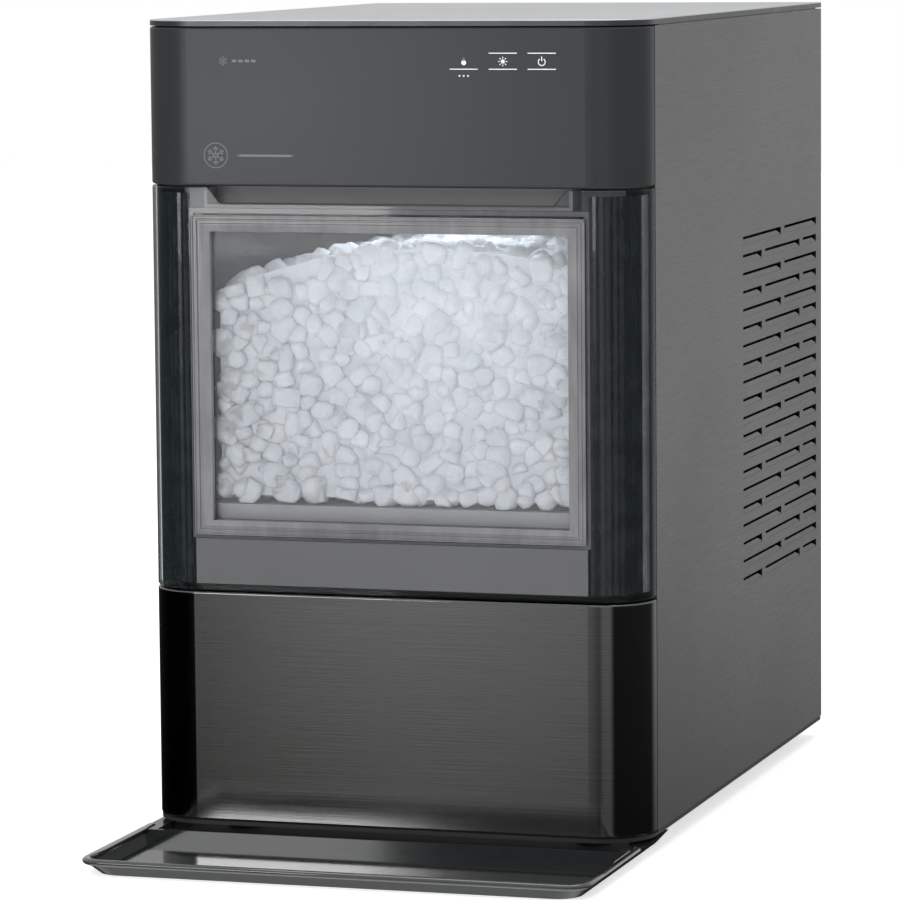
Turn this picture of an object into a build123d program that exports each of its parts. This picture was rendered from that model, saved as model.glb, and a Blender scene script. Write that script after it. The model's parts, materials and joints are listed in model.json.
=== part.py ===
"""Countertop nugget-ice maker, in millimetres.

+Z is up, the front faces -Y and +X is to the right of someone facing the front. The origin is
on the counter, under the middle of the box that holds the body and the drip tray in front of it.
The body is a sheet-metal case around a drawer for the ice, a water reservoir below the drawer,
and an auger evaporator, compressor and condenser behind it.
"""

import math
import os

from build123d import *

# ---------------------------------------------------------------- driving dimensions
# Overall
body_width = 264.0
body_depth = 394.0
overall_height = 419.0
tray_reach = 102.0  # drip tray's front edge ahead of the body's front face
corner_radius = 28.0  # plan radius of the two front corners
foot_height = 9.0

# Clearances
fit = 0.2  # between fixed pieces that locate each other
seat = 0.3  # between fixed pieces that bear on each other, flat or curved
slide_gap = 0.4  # between the drawer and what it runs past
seam = 0.8  # visible joint between front covers
panel_seam = 1.2  # visible joint between front covers and side panels

# Case sheet and covers
sheet = 1.0
pan_thickness = 2.0
pan_rim_height = 9.0
pan_rim = 1.5
cover_height = 3.0
cover_wall = 1.2
cover_joint = 0.6
head_height = 79.4
head_wall = 2.2
steel_wall = 1.2
flange_width = 10.0
frame_thickness = 1.5
rear_recess = 2.0
edge_round = 1.0  # outer edges of the front covers
edge_break = 0.5  # top cover's upper edge

# Louvres in the side panels
louvre_rows = 20
louvre_pitch = 9.64
louvre_height = 4.4
louvre_rise = 1.8
louvre_depth = 5.5
louvre_bridge = 8.0  # solid sheet between two slots in a row
louvre_end_gap = 0.25
louvre_rear_margin = 13.0
louvre_field = 171.5
louvre_low = 111.0
louvre_split = 44.5  # even rows: distance of each bridge from the field's middle
louvre_middle = 81.0  # field's middle, ahead of its rear end

# Drawer for the ice
bin_height = 205.0
bin_wall = 2.6
bucket_margin = 6.0  # bucket past the window on each side
bucket_wall = 2.2
bucket_floor = 27.0  # underside of the bucket above the drawer's bottom edge
bucket_gap = 8.4  # bucket behind the drawer's front face
bucket_depth = 187.0
bucket_drop = 12.5  # bucket's rim below the drawer's top edge
bezel_margin = 0.5  # flat front beyond the bezel on each side
bezel_low = 28.0
bezel_drop = 14.0  # bezel below the drawer's top edge
bezel_flange = 1.6
bezel_back = 6.0  # back of the bezel behind the front face
window_border = 9.5  # bezel's width around the window
window_low = 35.6
window_drop = 22.6
window_step = 3.0
window_step_depth = 1.2
window_steps = 2
window_set_back = 0.8  # first step behind the front face
window_radius = 3.0
pane_thickness = 2.0
runner_width = 6.0
runner_gap = 0.3
lip_width = 10.0
drain_floor_height = 12.0
drain_floor_thickness = 2.0
drain_hole = 3.0
drain_columns = 13
drain_rows = 11
grip_margin = 8.5  # finger cut-out inside the bezel's width on each side
grip_drop = 8.7
grip_depth = 14.0
grip_wall = 1.8
grip_slope = 8.0
apron_thickness = 1.6
catch_width = 6.0
catch_height = 44.0

# Bay that the drawer runs in
bay_wall = 2.0
bay_side_gap = 19.0  # bucket to the bay's outer face
bay_reach = 205.9  # bay's back behind the body's front face
drain_bore = 6.0
roof_port = (52.0, 40.0)
roof_port_back = 62.0
light_size = (120.0, 8.0, 2.8)
light_back = 12.0

# Reservoir
tank_side_gap = 24.0  # tank to the body's outer face
tank_depth = 176.0
tank_wall = 2.5
tank_headroom = 6.0
tank_front_gap = 12.0
float_radius = 9.0
float_height = 16.0
stem_radius = 3.0
stem_height = 70.0
float_travel = 30.0

# Auger, evaporator and drive
auger_back = 42.0  # auger's axis behind the bay
auger_side = -10.0
auger_core = 8.0
auger_radius = 16.6
auger_pitch = 24.0
flight_thickness = 3.0
barrel_bore = 17.2
barrel_wall = 2.3
sleeve_radius = 36.0
coil_tube = 3.0
coil_turns = 9
journal_radius = 6.0
bush_radius = 9.0
running_gap = 0.05
extruder_radius = 24.0
extruder_height = 18.0
extruder_slots = 6
gear_module = 1.25
pinion_teeth = 18
wheel_teeth = 54
gear_face = 8.0
gear_backlash = 0.25
pressure_angle = 20.0
gearbox_wall = 3.0
gearbox_lift = 66.0
motor_radius = 22.0
motor_height = 42.0
chute_wall = 1.6
chute_height = 32.0

# Refrigeration
compressor_radius = 48.0
compressor_height = 118.0
compressor_side = -70.0
compressor_back = 124.0
compressor_base = 3.0
mount_height = 8.0
mount_radius = 8.0
fin_pitch = 5.0
fin_thickness = 0.5
condenser_depth = 24.0
condenser_length = 140.0
condenser_height = 174.0
condenser_shift = 6.0  # condenser ahead of the louvres' middle
condenser_lift = 105.0
condenser_tube = 3.6
tube_rows = 6
shroud_thickness = 2.0
fan_radius = 56.0
fan_tip_gap = 4.0
fan_hub = 16.0
fan_blades = 7
fan_depth = 14.0
fan_motor_radius = 19.0
fan_motor_length = 22.0
line_radius = 3.0
drier_radius = 9.0
drier_length = 64.0

# Rear panel fittings
pocket_size = (64.0, 34.0)
pocket_depth = 14.0
pocket_side = 58.0
pocket_lift = 30.0
spout_radius = 6.0
spout_bore = 3.5
spout_spacing = 32.0
cap_wall = 1.5
gland_radius = 9.0
gland_bore = 4.2
gland_side = -96.0
gland_lift = 40.0
screw_radius = 1.6
screw_head = 3.4
screw_head_height = 1.7
vent_width = 4.0
vent_length = 60.0
vent_pitch = 10.0
vent_count = 12
vent_lift = 300.0

# Drip tray
tray_height = 7.4
tray_inset = 1.0  # tray's rim inside the body's sides
tray_flare = 7.0
tray_wall = 1.8
tray_floor = 2.0
tray_rail_width = 10.0
tray_rail_length = 54.0
tray_tuck = 30.0  # shelf's reach under the body
tray_corner = 12.0

# Electronics
board_thickness = 1.6
touch_board_size = (196.0, 44.0)
main_board_size = (76.0, 112.0)
standoff_height = 8.0
standoff_radius = 3.0

# ---------------------------------------------------------------- places worked out from them
half_width = body_width / 2
bezel_width = body_width - 2 * corner_radius - 2 * bezel_margin
window_width = bezel_width - 2 * window_border
grip_width = bezel_width - 2 * grip_margin
bucket_width = window_width + 2 * bucket_margin
bay_width = bucket_width + 2 * bay_side_gap
tank_width = body_width - 2 * tank_side_gap
tray_width = body_width - 2 * tray_inset
front_y = (tray_reach - body_depth) / 2
rear_y = front_y + body_depth
pan_z = foot_height
pan_top = pan_z + pan_thickness
shell_rear = front_y + corner_radius
frame_y = shell_rear + 0.4
frame_rear = frame_y + frame_thickness
panel_front = shell_rear + panel_seam
cover_z = overall_height - cover_height
case_top = cover_z - cover_joint
head_z = case_top - head_height
bin_top = head_z - seam
bin_z = bin_top - bin_height
lower_top = bin_z - 1.0
case_low = pan_top + 0.4
side_inner = half_width - sheet
bay_front = frame_rear
bay_rear = front_y + bay_reach
bay_low = bin_z + 0.3
bay_high = bin_top + 0.2
rear_panel_y = rear_y - rear_recess - sheet
rear_flange_y = rear_panel_y - fit - sheet
os.makedirs("parts", exist_ok=True)


# ---------------------------------------------------------------- shared shapes
def block(low, high, mode=Mode.ADD):
    """A box between two opposite corners."""
    size = [b - a for a, b in zip(low, high)]
    with Locations(tuple((a + b) / 2 for a, b in zip(low, high))):
        Box(*size, mode=mode)


def post(x, y, z0, z1, radius, mode=Mode.ADD):
    """An upright cylinder from z0 to z1."""
    with Locations((x, y, (z0 + z1) / 2)):
        Cylinder(radius, z1 - z0, mode=mode)


def bar(axis, centre, length, radius, mode=Mode.ADD):
    """A cylinder along X or Y, centred on a point."""
    turn = (0, 90, 0) if axis == "X" else (90, 0, 0)
    with Locations(Location(centre, turn)):
        Cylinder(radius, length, mode=mode)


def body_plan(z, inset, rear):
    """Sketch of the body's outline with its two round front corners."""
    front = front_y + inset
    with BuildSketch(Plane.XY.offset(z)) as plan:
        with Locations((0, (front + rear + corner_radius) / 2)):
            Rectangle(body_width - 2 * inset, rear + corner_radius - front)
        fillet(plan.vertices().group_by(Axis.Y)[0], corner_radius - inset)
        with Locations((0, (front + rear) / 2)):
            Rectangle(body_width, rear - front, mode=Mode.INTERSECT)
    return plan.sketch


def front_skin(z0, z1, wall):
    """A cover that wraps the front and both round corners."""
    extrude(body_plan(z0, 0, shell_rear), amount=z1 - z0)
    extrude(body_plan(z0, wall, shell_rear), amount=z1 - z0, mode=Mode.SUBTRACT)


def round_rims(builder, *levels):
    """Rounds a front cover's outer edges at the given heights."""
    for level in levels:
        rim = builder.edges().filter_by_position(Axis.Z, level, level)
        straight = [edge for edge in rim if abs(edge.center().Y - front_y) < 1e-3]
        arcs = rim.filter_by(GeomType.CIRCLE)
        fillet(straight + [arc for arc in arcs if abs(arc.radius - corner_radius) < 1e-3], edge_round)


def pipe(points, radius, bends):
    """A round tube along straight runs joined by tangent arcs."""
    with BuildLine() as route:
        FilletPolyline(*points, radius=bends)
    with BuildSketch(Plane(route.line @ 0, z_dir=route.line % 0)) as end:
        Circle(radius)
    sweep(end.sketch, path=route.line)


def save(builder, name):
    """Labels a finished piece and writes its STEP file."""
    builder.part.label = name
    export_step(builder.part, f"parts/{name}.step")


# ---------------------------------------------------------------- case
with BuildPart() as base_pan:
    extrude(body_plan(pan_z, 0.4, rear_y - 0.4), amount=pan_thickness)
    rim_plan = body_plan(pan_top, steel_wall + seat, rear_flange_y - fit)
    extrude(rim_plan, amount=pan_rim_height)
    inner_plan = body_plan(pan_top, steel_wall + seat + pan_rim, rear_flange_y - fit - pan_rim)
    extrude(inner_plan, amount=pan_rim_height, mode=Mode.SUBTRACT)
save(base_pan, "base_pan")

foot_radius = 9.0
foot_places = [
    (side * (half_width - inset), y)
    for inset, y in ((38.0, front_y + 45.0), (24.0, rear_y - 26.0))
    for side in (-1, 1)
]
with BuildPart() as feet:
    for x, y in foot_places:
        with Locations((x, y, 0)):
            Cone(foot_radius - 1.5, foot_radius, pan_z, align=(Align.CENTER, Align.CENTER, Align.MIN))
save(feet, "feet")

screw_z = [case_low + 30, (case_low + case_top) / 2, case_top - 30]
louvre_end = rear_y - louvre_rear_margin
louvre_start = louvre_end - louvre_field
louvre_centre = louvre_end - louvre_middle


def louvre_spans(row):
    """Start and end of each slot in a row: two in an odd row, three in an even one."""
    bridges = [louvre_centre]
    if row % 2:
        bridges = [louvre_centre - louvre_split, louvre_centre + louvre_split]
    edges = [louvre_start]
    for middle in bridges:
        edges += [middle - louvre_bridge / 2, middle + louvre_bridge / 2]
    edges.append(louvre_end)
    return list(zip(edges[::2], edges[1::2]))


with BuildPart() as right_side_panel:
    block((side_inner, panel_front, case_low), (half_width, rear_y, case_top))
    # Sheet returns at the front, behind the chassis frame, and at the rear
    block(
        (half_width - flange_width, frame_rear + fit, case_low + pan_rim_height),
        (half_width, frame_rear + fit + sheet, case_top),
    )
    block(
        (half_width - flange_width - 2, rear_flange_y, case_low),
        (half_width, rear_flange_y + sheet, case_top),
    )
    with BuildSketch(Plane.YZ.offset(side_inner)):
        for row in range(louvre_rows):
            z = louvre_low + (louvre_rows - 1 - row) * louvre_pitch
            for start, end in louvre_spans(row):
                with Locations(((start + end) / 2, z + louvre_height / 2)):
                    Rectangle(end - start, louvre_height)
    extrude(amount=sheet, mode=Mode.SUBTRACT)
    blade_drop = sheet * 1.2
    for parity in (0, 1):
        for start, end in louvre_spans(parity):
            with BuildSketch(Plane((0, start + louvre_end_gap, 0), x_dir=(-1, 0, 0), z_dir=(0, 1, 0))):
                for row in range(parity, louvre_rows, 2):
                    z = louvre_low + (louvre_rows - 1 - row) * louvre_pitch
                    with BuildLine():
                        Polyline(
                            (-half_width, z),
                            (-half_width + louvre_depth, z + louvre_rise),
                            (-half_width + louvre_depth, z + louvre_rise - blade_drop),
                            (-side_inner, z + louvre_rise * sheet / louvre_depth - blade_drop),
                            close=True,
                        )
                    make_face()
            extrude(amount=end - start - 2 * louvre_end_gap)
    for z in screw_z:
        x = half_width - flange_width / 2 - 1
        bar("Y", (x, rear_flange_y + sheet / 2, z), 2 * sheet, screw_radius, Mode.SUBTRACT)
save(right_side_panel, "right_side_panel")

with BuildPart() as left_side_panel:
    add(right_side_panel.part.mirror(Plane.YZ))
save(left_side_panel, "left_side_panel")

rear_screw_places = [
    (side * (half_width - flange_width / 2 - 1), z) for side in (-1, 1) for z in screw_z
]
spout_places = [pocket_side + side * spout_spacing / 2 for side in (-1, 1)]
pocket_z = pan_top + pocket_lift
gland_z = pan_top + gland_lift
with BuildPart() as rear_panel:
    block(
        (-side_inner + fit, rear_panel_y, case_low),
        (side_inner - fit, rear_panel_y + sheet, case_top),
    )
    # Pressed pocket around the drain spouts
    block(
        (pocket_side - pocket_size[0] / 2 - sheet, rear_panel_y - pocket_depth, pocket_z - pocket_size[1] / 2 - sheet),
        (pocket_side + pocket_size[0] / 2 + sheet, rear_panel_y + sheet / 2, pocket_z + pocket_size[1] / 2 + sheet),
    )
    block(
        (pocket_side - pocket_size[0] / 2, rear_panel_y - pocket_depth + sheet, pocket_z - pocket_size[1] / 2),
        (pocket_side + pocket_size[0] / 2, rear_panel_y + 2 * sheet, pocket_z + pocket_size[1] / 2),
        mode=Mode.SUBTRACT,
    )
    for x in spout_places:
        bar("Y", (x, rear_panel_y - pocket_depth, pocket_z), 8 * sheet, spout_radius - 1 + fit, Mode.SUBTRACT)
    bar("Y", (gland_side, rear_panel_y, gland_z), 8 * sheet, gland_radius - 2 + fit, Mode.SUBTRACT)
    for x, z in rear_screw_places:
        bar("Y", (x, rear_panel_y, z), 8 * sheet, screw_radius + fit, Mode.SUBTRACT)
    with BuildSketch(Plane.XZ.offset(-rear_panel_y - 2 * sheet)):
        with Locations((0, vent_lift)):
            with GridLocations(2.4 * vent_length / 2, vent_pitch, 2, vent_count):
                SlotOverall(vent_length, vent_width)
    extrude(amount=4 * sheet, mode=Mode.SUBTRACT)
save(rear_panel, "rear_panel")

with BuildPart() as rear_screws:
    for x, z in rear_screw_places:
        bar("Y", (x, rear_panel_y + sheet + screw_head_height / 2, z), screw_head_height, screw_head)
        bar("Y", (x, rear_panel_y + sheet - 1.5 * sheet, z), 3 * sheet, screw_radius)
save(rear_screws, "rear_screws")

# ---------------------------------------------------------------- covers and chassis
cover_rib = 5.0
with BuildPart() as top_cover:
    extrude(body_plan(cover_z, 0, rear_y), amount=cover_height)
    fillet(top_cover.edges().group_by(Axis.Z)[-1], edge_break)
    # Side ribs drop inside the side panels; front and rear lands bear on the chassis
    for side in (-1, 1):
        x = side * (side_inner - fit - cover_wall / 2)
        block(
            (x - cover_wall / 2, frame_rear + 2 * cover_rib, cover_z - cover_rib),
            (x + cover_wall / 2, rear_flange_y - cover_rib, cover_z),
        )
    block((-side_inner + flange_width, frame_y, case_top), (side_inner - flange_width, frame_rear, cover_z))
    block(
        (-side_inner + flange_width, rear_panel_y, case_top),
        (side_inner - flange_width, rear_panel_y + sheet, cover_z),
    )
save(top_cover, "top_cover")

with BuildPart() as control_head:
    front_skin(head_z, case_top, head_wall)
    round_rims(control_head, head_z, case_top)
save(control_head, "control_head")

touch_y = front_y + head_wall + fit
touch_z = case_top - 4 - touch_board_size[1]
with BuildPart() as touch_board:
    block(
        (-touch_board_size[0] / 2, touch_y, touch_z),
        (touch_board_size[0] / 2, touch_y + board_thickness, touch_z + touch_board_size[1]),
    )
    # Driver chip and the plug for the ribbon lead
    block((-8, touch_y + board_thickness, touch_z + 14), (8, touch_y + board_thickness + 2, touch_z + 24))
    block((60, touch_y + board_thickness, touch_z + 4), (84, touch_y + board_thickness + 6, touch_z + 10))
save(touch_board, "touch_board")

with BuildPart() as lower_front_panel:
    front_skin(case_low, lower_top, steel_wall)
    extrude(body_plan(lower_top - steel_wall, steel_wall / 2, shell_rear), amount=steel_wall)
    extrude(
        body_plan(lower_top - steel_wall, lip_width, shell_rear), amount=steel_wall, mode=Mode.SUBTRACT
    )
    round_rims(lower_front_panel, case_low, lower_top)
save(lower_front_panel, "lower_front_panel")

bay_inner = bay_width / 2 - bay_wall
tank_z = pan_top + fit
tank_top = bay_low - tank_headroom - 6
frame_post = tank_width / 2 + 2
with BuildPart() as front_frame:
    block((-side_inner + fit, frame_y, pan_top), (side_inner - fit, frame_rear, case_top - 0.4))
    windows = (
        (frame_post, pan_top - 1, tank_top + 3),
        (bay_inner, bay_low + bay_wall, bay_high - bay_wall),
        (touch_board_size[0] / 2, head_z + 12, case_top - 10),
    )
    for half, z0, z1 in windows:
        block((-half, frame_y - 1, z0), (half, frame_rear + 1, z1), mode=Mode.SUBTRACT)
    # Legs stand inside the base pan's rim
    for side in (-1, 1):
        low = sorted((side * (side_inner - 2 * pan_rim), side * half_width))
        block(
            (low[0], frame_y - 1, pan_top - 1),
            (low[1], frame_rear + 1, pan_top + pan_rim_height + fit),
            mode=Mode.SUBTRACT,
        )
save(front_frame, "front_frame")

# ---------------------------------------------------------------- bay, light and chute
auger_x = auger_side
auger_y = bay_rear + auger_back
port_y = bay_front + roof_port_back
drain_x = 40.0
drain_y = bay_rear - 40.0
with BuildPart() as bin_bay:
    half = bay_width / 2
    block((-half, bay_front, bay_low), (half, bay_rear, bay_high))
    block(
        (-half + bay_wall, bay_front - 1, bay_low + bay_wall),
        (half - bay_wall, bay_rear - bay_wall, bay_high - bay_wall),
        mode=Mode.SUBTRACT,
    )
    block(
        (auger_x - roof_port[0] / 2, port_y - roof_port[1] / 2, bay_high - 2 * bay_wall),
        (auger_x + roof_port[0] / 2, port_y + roof_port[1] / 2, bay_high + 1),
        mode=Mode.SUBTRACT,
    )
    post(drain_x, drain_y, bay_low - 1, bay_low + 2 * bay_wall, drain_bore, Mode.SUBTRACT)
save(bin_bay, "bin_bay")

light_z = bay_high - bay_wall
with BuildPart() as bin_light:
    block(
        (-light_size[0] / 2, bay_front + light_back, light_z - light_size[2]),
        (light_size[0] / 2, bay_front + light_back + light_size[1], light_z),
    )
save(bin_light, "bin_light")

barrel_low = pan_top + gearbox_lift + 18.0
barrel_top = bay_high - 14.0
extruder_z = barrel_top + fit
extruder_top = extruder_z + extruder_height
chute_z = bay_high + seat
chute_top = chute_z + chute_height
with BuildPart() as ice_chute:
    half = extruder_radius + 5.0
    front = port_y - roof_port[1] / 2 - chute_wall
    rear = auger_y + half
    block((auger_x - half, front, chute_z), (auger_x + half, rear, chute_top))
    block(
        (auger_x - half + chute_wall, front + chute_wall, chute_z + chute_wall),
        (auger_x + half - chute_wall, rear - chute_wall, chute_top - chute_wall),
        mode=Mode.SUBTRACT,
    )
    block(
        (auger_x - roof_port[0] / 2, port_y - roof_port[1] / 2, chute_z - 1),
        (auger_x + roof_port[0] / 2, port_y + roof_port[1] / 2, chute_z + 2 * chute_wall),
        mode=Mode.SUBTRACT,
    )
    post(auger_x, auger_y, chute_z - 1, chute_z + 2 * chute_wall, extruder_radius + seat, Mode.SUBTRACT)
save(ice_chute, "ice_chute")

# ---------------------------------------------------------------- drawer for the ice
bezel_y = front_y + window_set_back


def front_panel(y, width, z0, z1, radius, thickness, mode=Mode.ADD):
    """A round-cornered plate facing the front, from y back by its thickness."""
    with BuildSketch(Plane.XZ.offset(-y - thickness)) as plate:
        with Locations((0, (z0 + z1) / 2)):
            Rectangle(width, z1 - z0)
        fillet(plate.vertices(), radius)
    extrude(plate.sketch, amount=thickness, mode=mode)


bezel_z0 = bin_z + bezel_low
bezel_z1 = bin_top - bezel_drop
with BuildPart() as bin_front_shell:
    front_skin(bin_z, bin_top, bin_wall)
    extrude(body_plan(bin_z, bin_wall / 2, shell_rear), amount=bin_wall)
    extrude(body_plan(bin_z, lip_width, shell_rear), amount=bin_wall, mode=Mode.SUBTRACT)
    round_rims(bin_front_shell, bin_z, bin_top)
    front_panel(
        front_y - 1, bezel_width, bezel_z0, bezel_z1, window_radius, bin_wall + 2, Mode.SUBTRACT
    )
    # Finger cut-out in the top edge
    with BuildSketch(Plane.XZ.offset(-front_y - bin_wall - 1)):
        with BuildLine():
            half = grip_width / 2
            Polyline(
                (-half, bin_top + 1),
                (half, bin_top + 1),
                (half - grip_slope, bin_top - grip_drop),
                (-half + grip_slope, bin_top - grip_drop),
                close=True,
            )
        make_face()
    extrude(amount=bin_wall + 2, mode=Mode.SUBTRACT)
save(bin_front_shell, "bin_front_shell")

window_z0 = bin_z + window_low
window_z1 = bin_top - window_drop
bezel_depth = bezel_back - window_set_back
with BuildPart() as bin_bezel:
    front_panel(
        bezel_y,
        bezel_width - 2 * fit,
        bezel_z0 + fit,
        bezel_z1 - fit,
        window_radius - fit,
        bezel_depth,
    )
    flange_y = front_y + bin_wall + seat
    front_panel(
        flange_y,
        bezel_width + 2 * bezel_flange,
        bezel_z0 - bezel_flange,
        bezel_z1 + bezel_flange,
        window_radius,
        front_y + bezel_back - flange_y,
    )
    for level in range(1, window_steps + 1):
        inset = level * window_step
        front_panel(
            bezel_y - 1,
            bezel_width - 2 * inset,
            bezel_z0 + inset,
            bezel_z1 - inset,
            window_radius,
            1 + level * window_step_depth,
            Mode.SUBTRACT,
        )
    front_panel(
        bezel_y - 1, window_width, window_z0, window_z1, window_radius, bezel_depth + 2, Mode.SUBTRACT
    )
save(bin_bezel, "bin_bezel")

bucket_y = front_y + bucket_gap
bucket_z = bin_z + bucket_floor
bucket_top = bin_top - bucket_drop
pane_y = front_y + bezel_back + fit
with BuildPart() as bin_window:
    front_panel(
        pane_y,
        window_width + 4 * bezel_flange,
        window_z0 - 2 * bezel_flange,
        window_z1 + 2 * bezel_flange,
        window_radius,
        pane_thickness,
    )
save(bin_window, "bin_window")

with BuildPart() as bin_bucket:
    half = bucket_width / 2
    block((-half, bucket_y, bucket_z), (half, bucket_y + bucket_depth, bucket_top))
    block(
        (-half + bucket_wall, bucket_y + bucket_wall, bucket_z + bucket_wall),
        (half - bucket_wall, bucket_y + bucket_depth - bucket_wall, bucket_top + 1),
        mode=Mode.SUBTRACT,
    )
    front_panel(
        bucket_y - 1, window_width, window_z0, window_z1, window_radius, bucket_wall + 2, Mode.SUBTRACT
    )
save(bin_bucket, "bin_bucket")

grid_half = bucket_width / 2 - bucket_wall - slide_gap
grid_front = bucket_y + bucket_wall + slide_gap
grid_rear = bucket_y + bucket_depth - bucket_wall - slide_gap
grid_low = bucket_z + bucket_wall
grid_top = grid_low + drain_floor_height + drain_floor_thickness
with BuildPart() as bin_drain_grid:
    block((-grid_half, grid_front, grid_low), (grid_half, grid_rear, grid_top))
    block(
        (-grid_half + bucket_wall, grid_front + bucket_wall, grid_low - 1),
        (grid_half - bucket_wall, grid_rear - bucket_wall, grid_top - drain_floor_thickness),
        mode=Mode.SUBTRACT,
    )
    with BuildSketch(Plane.XY.offset(grid_top + 1)):
        with Locations((0, (grid_front + grid_rear) / 2)):
            pitch_x = 2 * grid_half / (drain_columns + 0.5)
            pitch_y = (grid_rear - grid_front) / (drain_rows + 0.5)
            with GridLocations(pitch_x, pitch_y, drain_columns, drain_rows):
                Circle(drain_hole)
    extrude(amount=-drain_floor_thickness - 2, mode=Mode.SUBTRACT)
save(bin_drain_grid, "bin_drain_grid")

runner_out = bay_inner - slide_gap
runner_in = runner_out - runner_width
runner_low = bay_low + bay_wall + runner_gap
with BuildPart() as bin_runners:
    for side in (-1, 1):
        skid = sorted((side * runner_in, side * runner_out))
        shelf = sorted((side * (bucket_width / 2 - runner_width), side * runner_in))
        block(
            (skid[0], bay_front + 2, runner_low), (skid[1], bucket_y + bucket_depth - 2, bucket_z)
        )
        block(
            (shelf[0], bay_front + 2, bucket_z - bucket_wall),
            (shelf[1], bucket_y + bucket_depth - 2, bucket_z),
        )
save(bin_runners, "bin_runners")

grip_z = bucket_top + seat
grip_y = front_y + bin_wall + seat
with BuildPart() as bin_grip:
    half = grip_width / 2 + grip_wall
    low = bin_top - grip_drop - grip_wall
    high = bin_top - slide_gap
    block((-half, grip_y, low), (half, grip_y + grip_depth + grip_wall, high))
    block(
        (-half + grip_wall, grip_y - 1, low + grip_wall),
        (half - grip_wall, grip_y + grip_depth, high + 1),
        mode=Mode.SUBTRACT,
    )
    # Feet that stand on the bucket's rim
    for side in (-1, 1):
        x = side * (half - 2 * grip_wall)
        block((x - grip_wall, bucket_y, bucket_top), (x + grip_wall, bucket_y + bucket_wall, low))
save(bin_grip, "bin_grip")

apron_y = front_y + bin_wall + seat
with BuildPart() as bin_apron:
    block(
        (-bezel_width / 2, apron_y, bin_z + bin_wall + seat),
        (bezel_width / 2, apron_y + apron_thickness, bezel_z0 - bezel_flange - seat),
    )
save(bin_apron, "bin_apron")

with BuildPart() as bin_catch:
    x0 = bucket_width / 2
    z0 = bezel_z0
    block(
        (x0, bucket_y + bucket_wall, z0 + catch_height / 4),
        (x0 + catch_width, bucket_y + 3 * bucket_wall, z0 + catch_height * 3 / 4),
    )
    block(
        (x0 + catch_width, bucket_y + bucket_wall, z0),
        (x0 + catch_width + catch_width / 2, bucket_y + 4 * bucket_wall, z0 + catch_height),
    )
save(bin_catch, "bin_catch")

ice_side = grid_half
ice_low = grid_top + fit
# Crest of the heap: share of the half width, and depth below the bucket's rim
ice_crest = ((-1.0, 38.3), (-0.72, 28.3), (-0.35, 18.3), (0.2, 14.3), (0.65, 17.3), (1.0, 25.3))
with BuildPart() as ice_nuggets:
    with BuildSketch(Plane.XZ.offset(-grid_rear)):
        with BuildLine():
            crest = [(share * ice_side, bucket_top - drop) for share, drop in ice_crest]
            Polyline((ice_side, ice_low), (-ice_side, ice_low), *crest, close=True)
        make_face()
    extrude(amount=grid_rear - grid_front)
save(ice_nuggets, "ice_nuggets")

# ---------------------------------------------------------------- reservoir, float and pump
tank_y = front_y + tank_front_gap
tank_rear = tank_y + tank_depth
hose_radius = 4.0
drain_z = pocket_z
hose_x = (spout_places[0] + 22.0, spout_places[1])
pump_x = -80.0
pump_inlet_z = pan_top + 16.0
with BuildPart() as reservoir:
    half = tank_width / 2
    block((-half, tank_y, tank_z), (half, tank_rear, tank_top))
    block(
        (-half + tank_wall, tank_y + tank_wall, tank_z + tank_wall),
        (half - tank_wall, tank_rear - tank_wall, tank_top + 1),
        mode=Mode.SUBTRACT,
    )
    for x in hose_x:
        bar("Y", (x, tank_rear, drain_z), 4 * tank_wall, hose_radius - 1, Mode.SUBTRACT)
    bar("Y", (pump_x, tank_rear, pump_inlet_z), 4 * tank_wall, hose_radius + fit, Mode.SUBTRACT)
save(reservoir, "reservoir")

float_x = -70.0
float_y = tank_rear - 36.0
stem_z = tank_z + tank_wall
collar_height = 6.0
float_z = stem_z + collar_height + seat
with BuildPart() as float_stem:
    post(float_x, float_y, stem_z, stem_z + stem_height, stem_radius)
    post(float_x, float_y, stem_z, stem_z + collar_height, 2 * stem_radius)
    cap_z = float_z + float_height + float_travel + seat
    post(float_x, float_y, cap_z, cap_z + stem_radius, 2 * stem_radius)
save(float_stem, "float_stem")

with BuildPart() as water_float:
    post(float_x, float_y, float_z, float_z + float_height, float_radius)
    fillet(water_float.edges(), 2)
    post(float_x, float_y, float_z - 1, float_z + float_height + 1, stem_radius + running_gap, Mode.SUBTRACT)
save(water_float, "water_float")

pump_y = tank_rear + seat
pump_size = (38.0, 34.0, 40.0)
with BuildPart() as water_pump:
    block(
        (pump_x - pump_size[0] / 2, pump_y, pan_top),
        (pump_x + pump_size[0] / 2, pump_y + pump_size[1] * 0.75, pan_top + pump_size[2] / 2),
    )
    post(pump_x, pump_y + pump_size[1] / 2, pan_top + 4, pan_top + pump_size[2], pump_size[1] / 2 - 1)
    bar("Y", (pump_x, tank_rear - tank_wall, pump_inlet_z), 3 * tank_wall, hose_radius)
save(water_pump, "water_pump")

feed_z = barrel_low + 9.0
hose_start = (pump_x, pump_y + pump_size[1] / 2, pan_top + pump_size[2] + seat)
barrel_radius = barrel_bore + barrel_wall
with BuildPart() as water_hose:
    pipe(
        (
            hose_start,
            (hose_start[0], hose_start[1], feed_z),
            (hose_start[0], auger_y, feed_z),
            (auger_x - barrel_radius - seat, auger_y, feed_z),
        ),
        hose_radius,
        8.0,
    )
save(water_hose, "water_hose")

spout_y = rear_panel_y - pocket_depth
spout_inner = spout_y - 6.0
with BuildPart() as drain_hoses:
    pipe(
        (
            (hose_x[0], tank_rear + seat, drain_z),
            (hose_x[0], auger_y + 46, drain_z),
            (spout_places[0], auger_y + 76, drain_z),
            (spout_places[0], spout_inner - seat, drain_z),
        ),
        hose_radius,
        12.0,
    )
    length = spout_inner - seat - tank_rear - seat
    bar("Y", (hose_x[1], tank_rear + seat + length / 2, drain_z), length, hose_radius)
save(drain_hoses, "drain_hoses")

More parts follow.
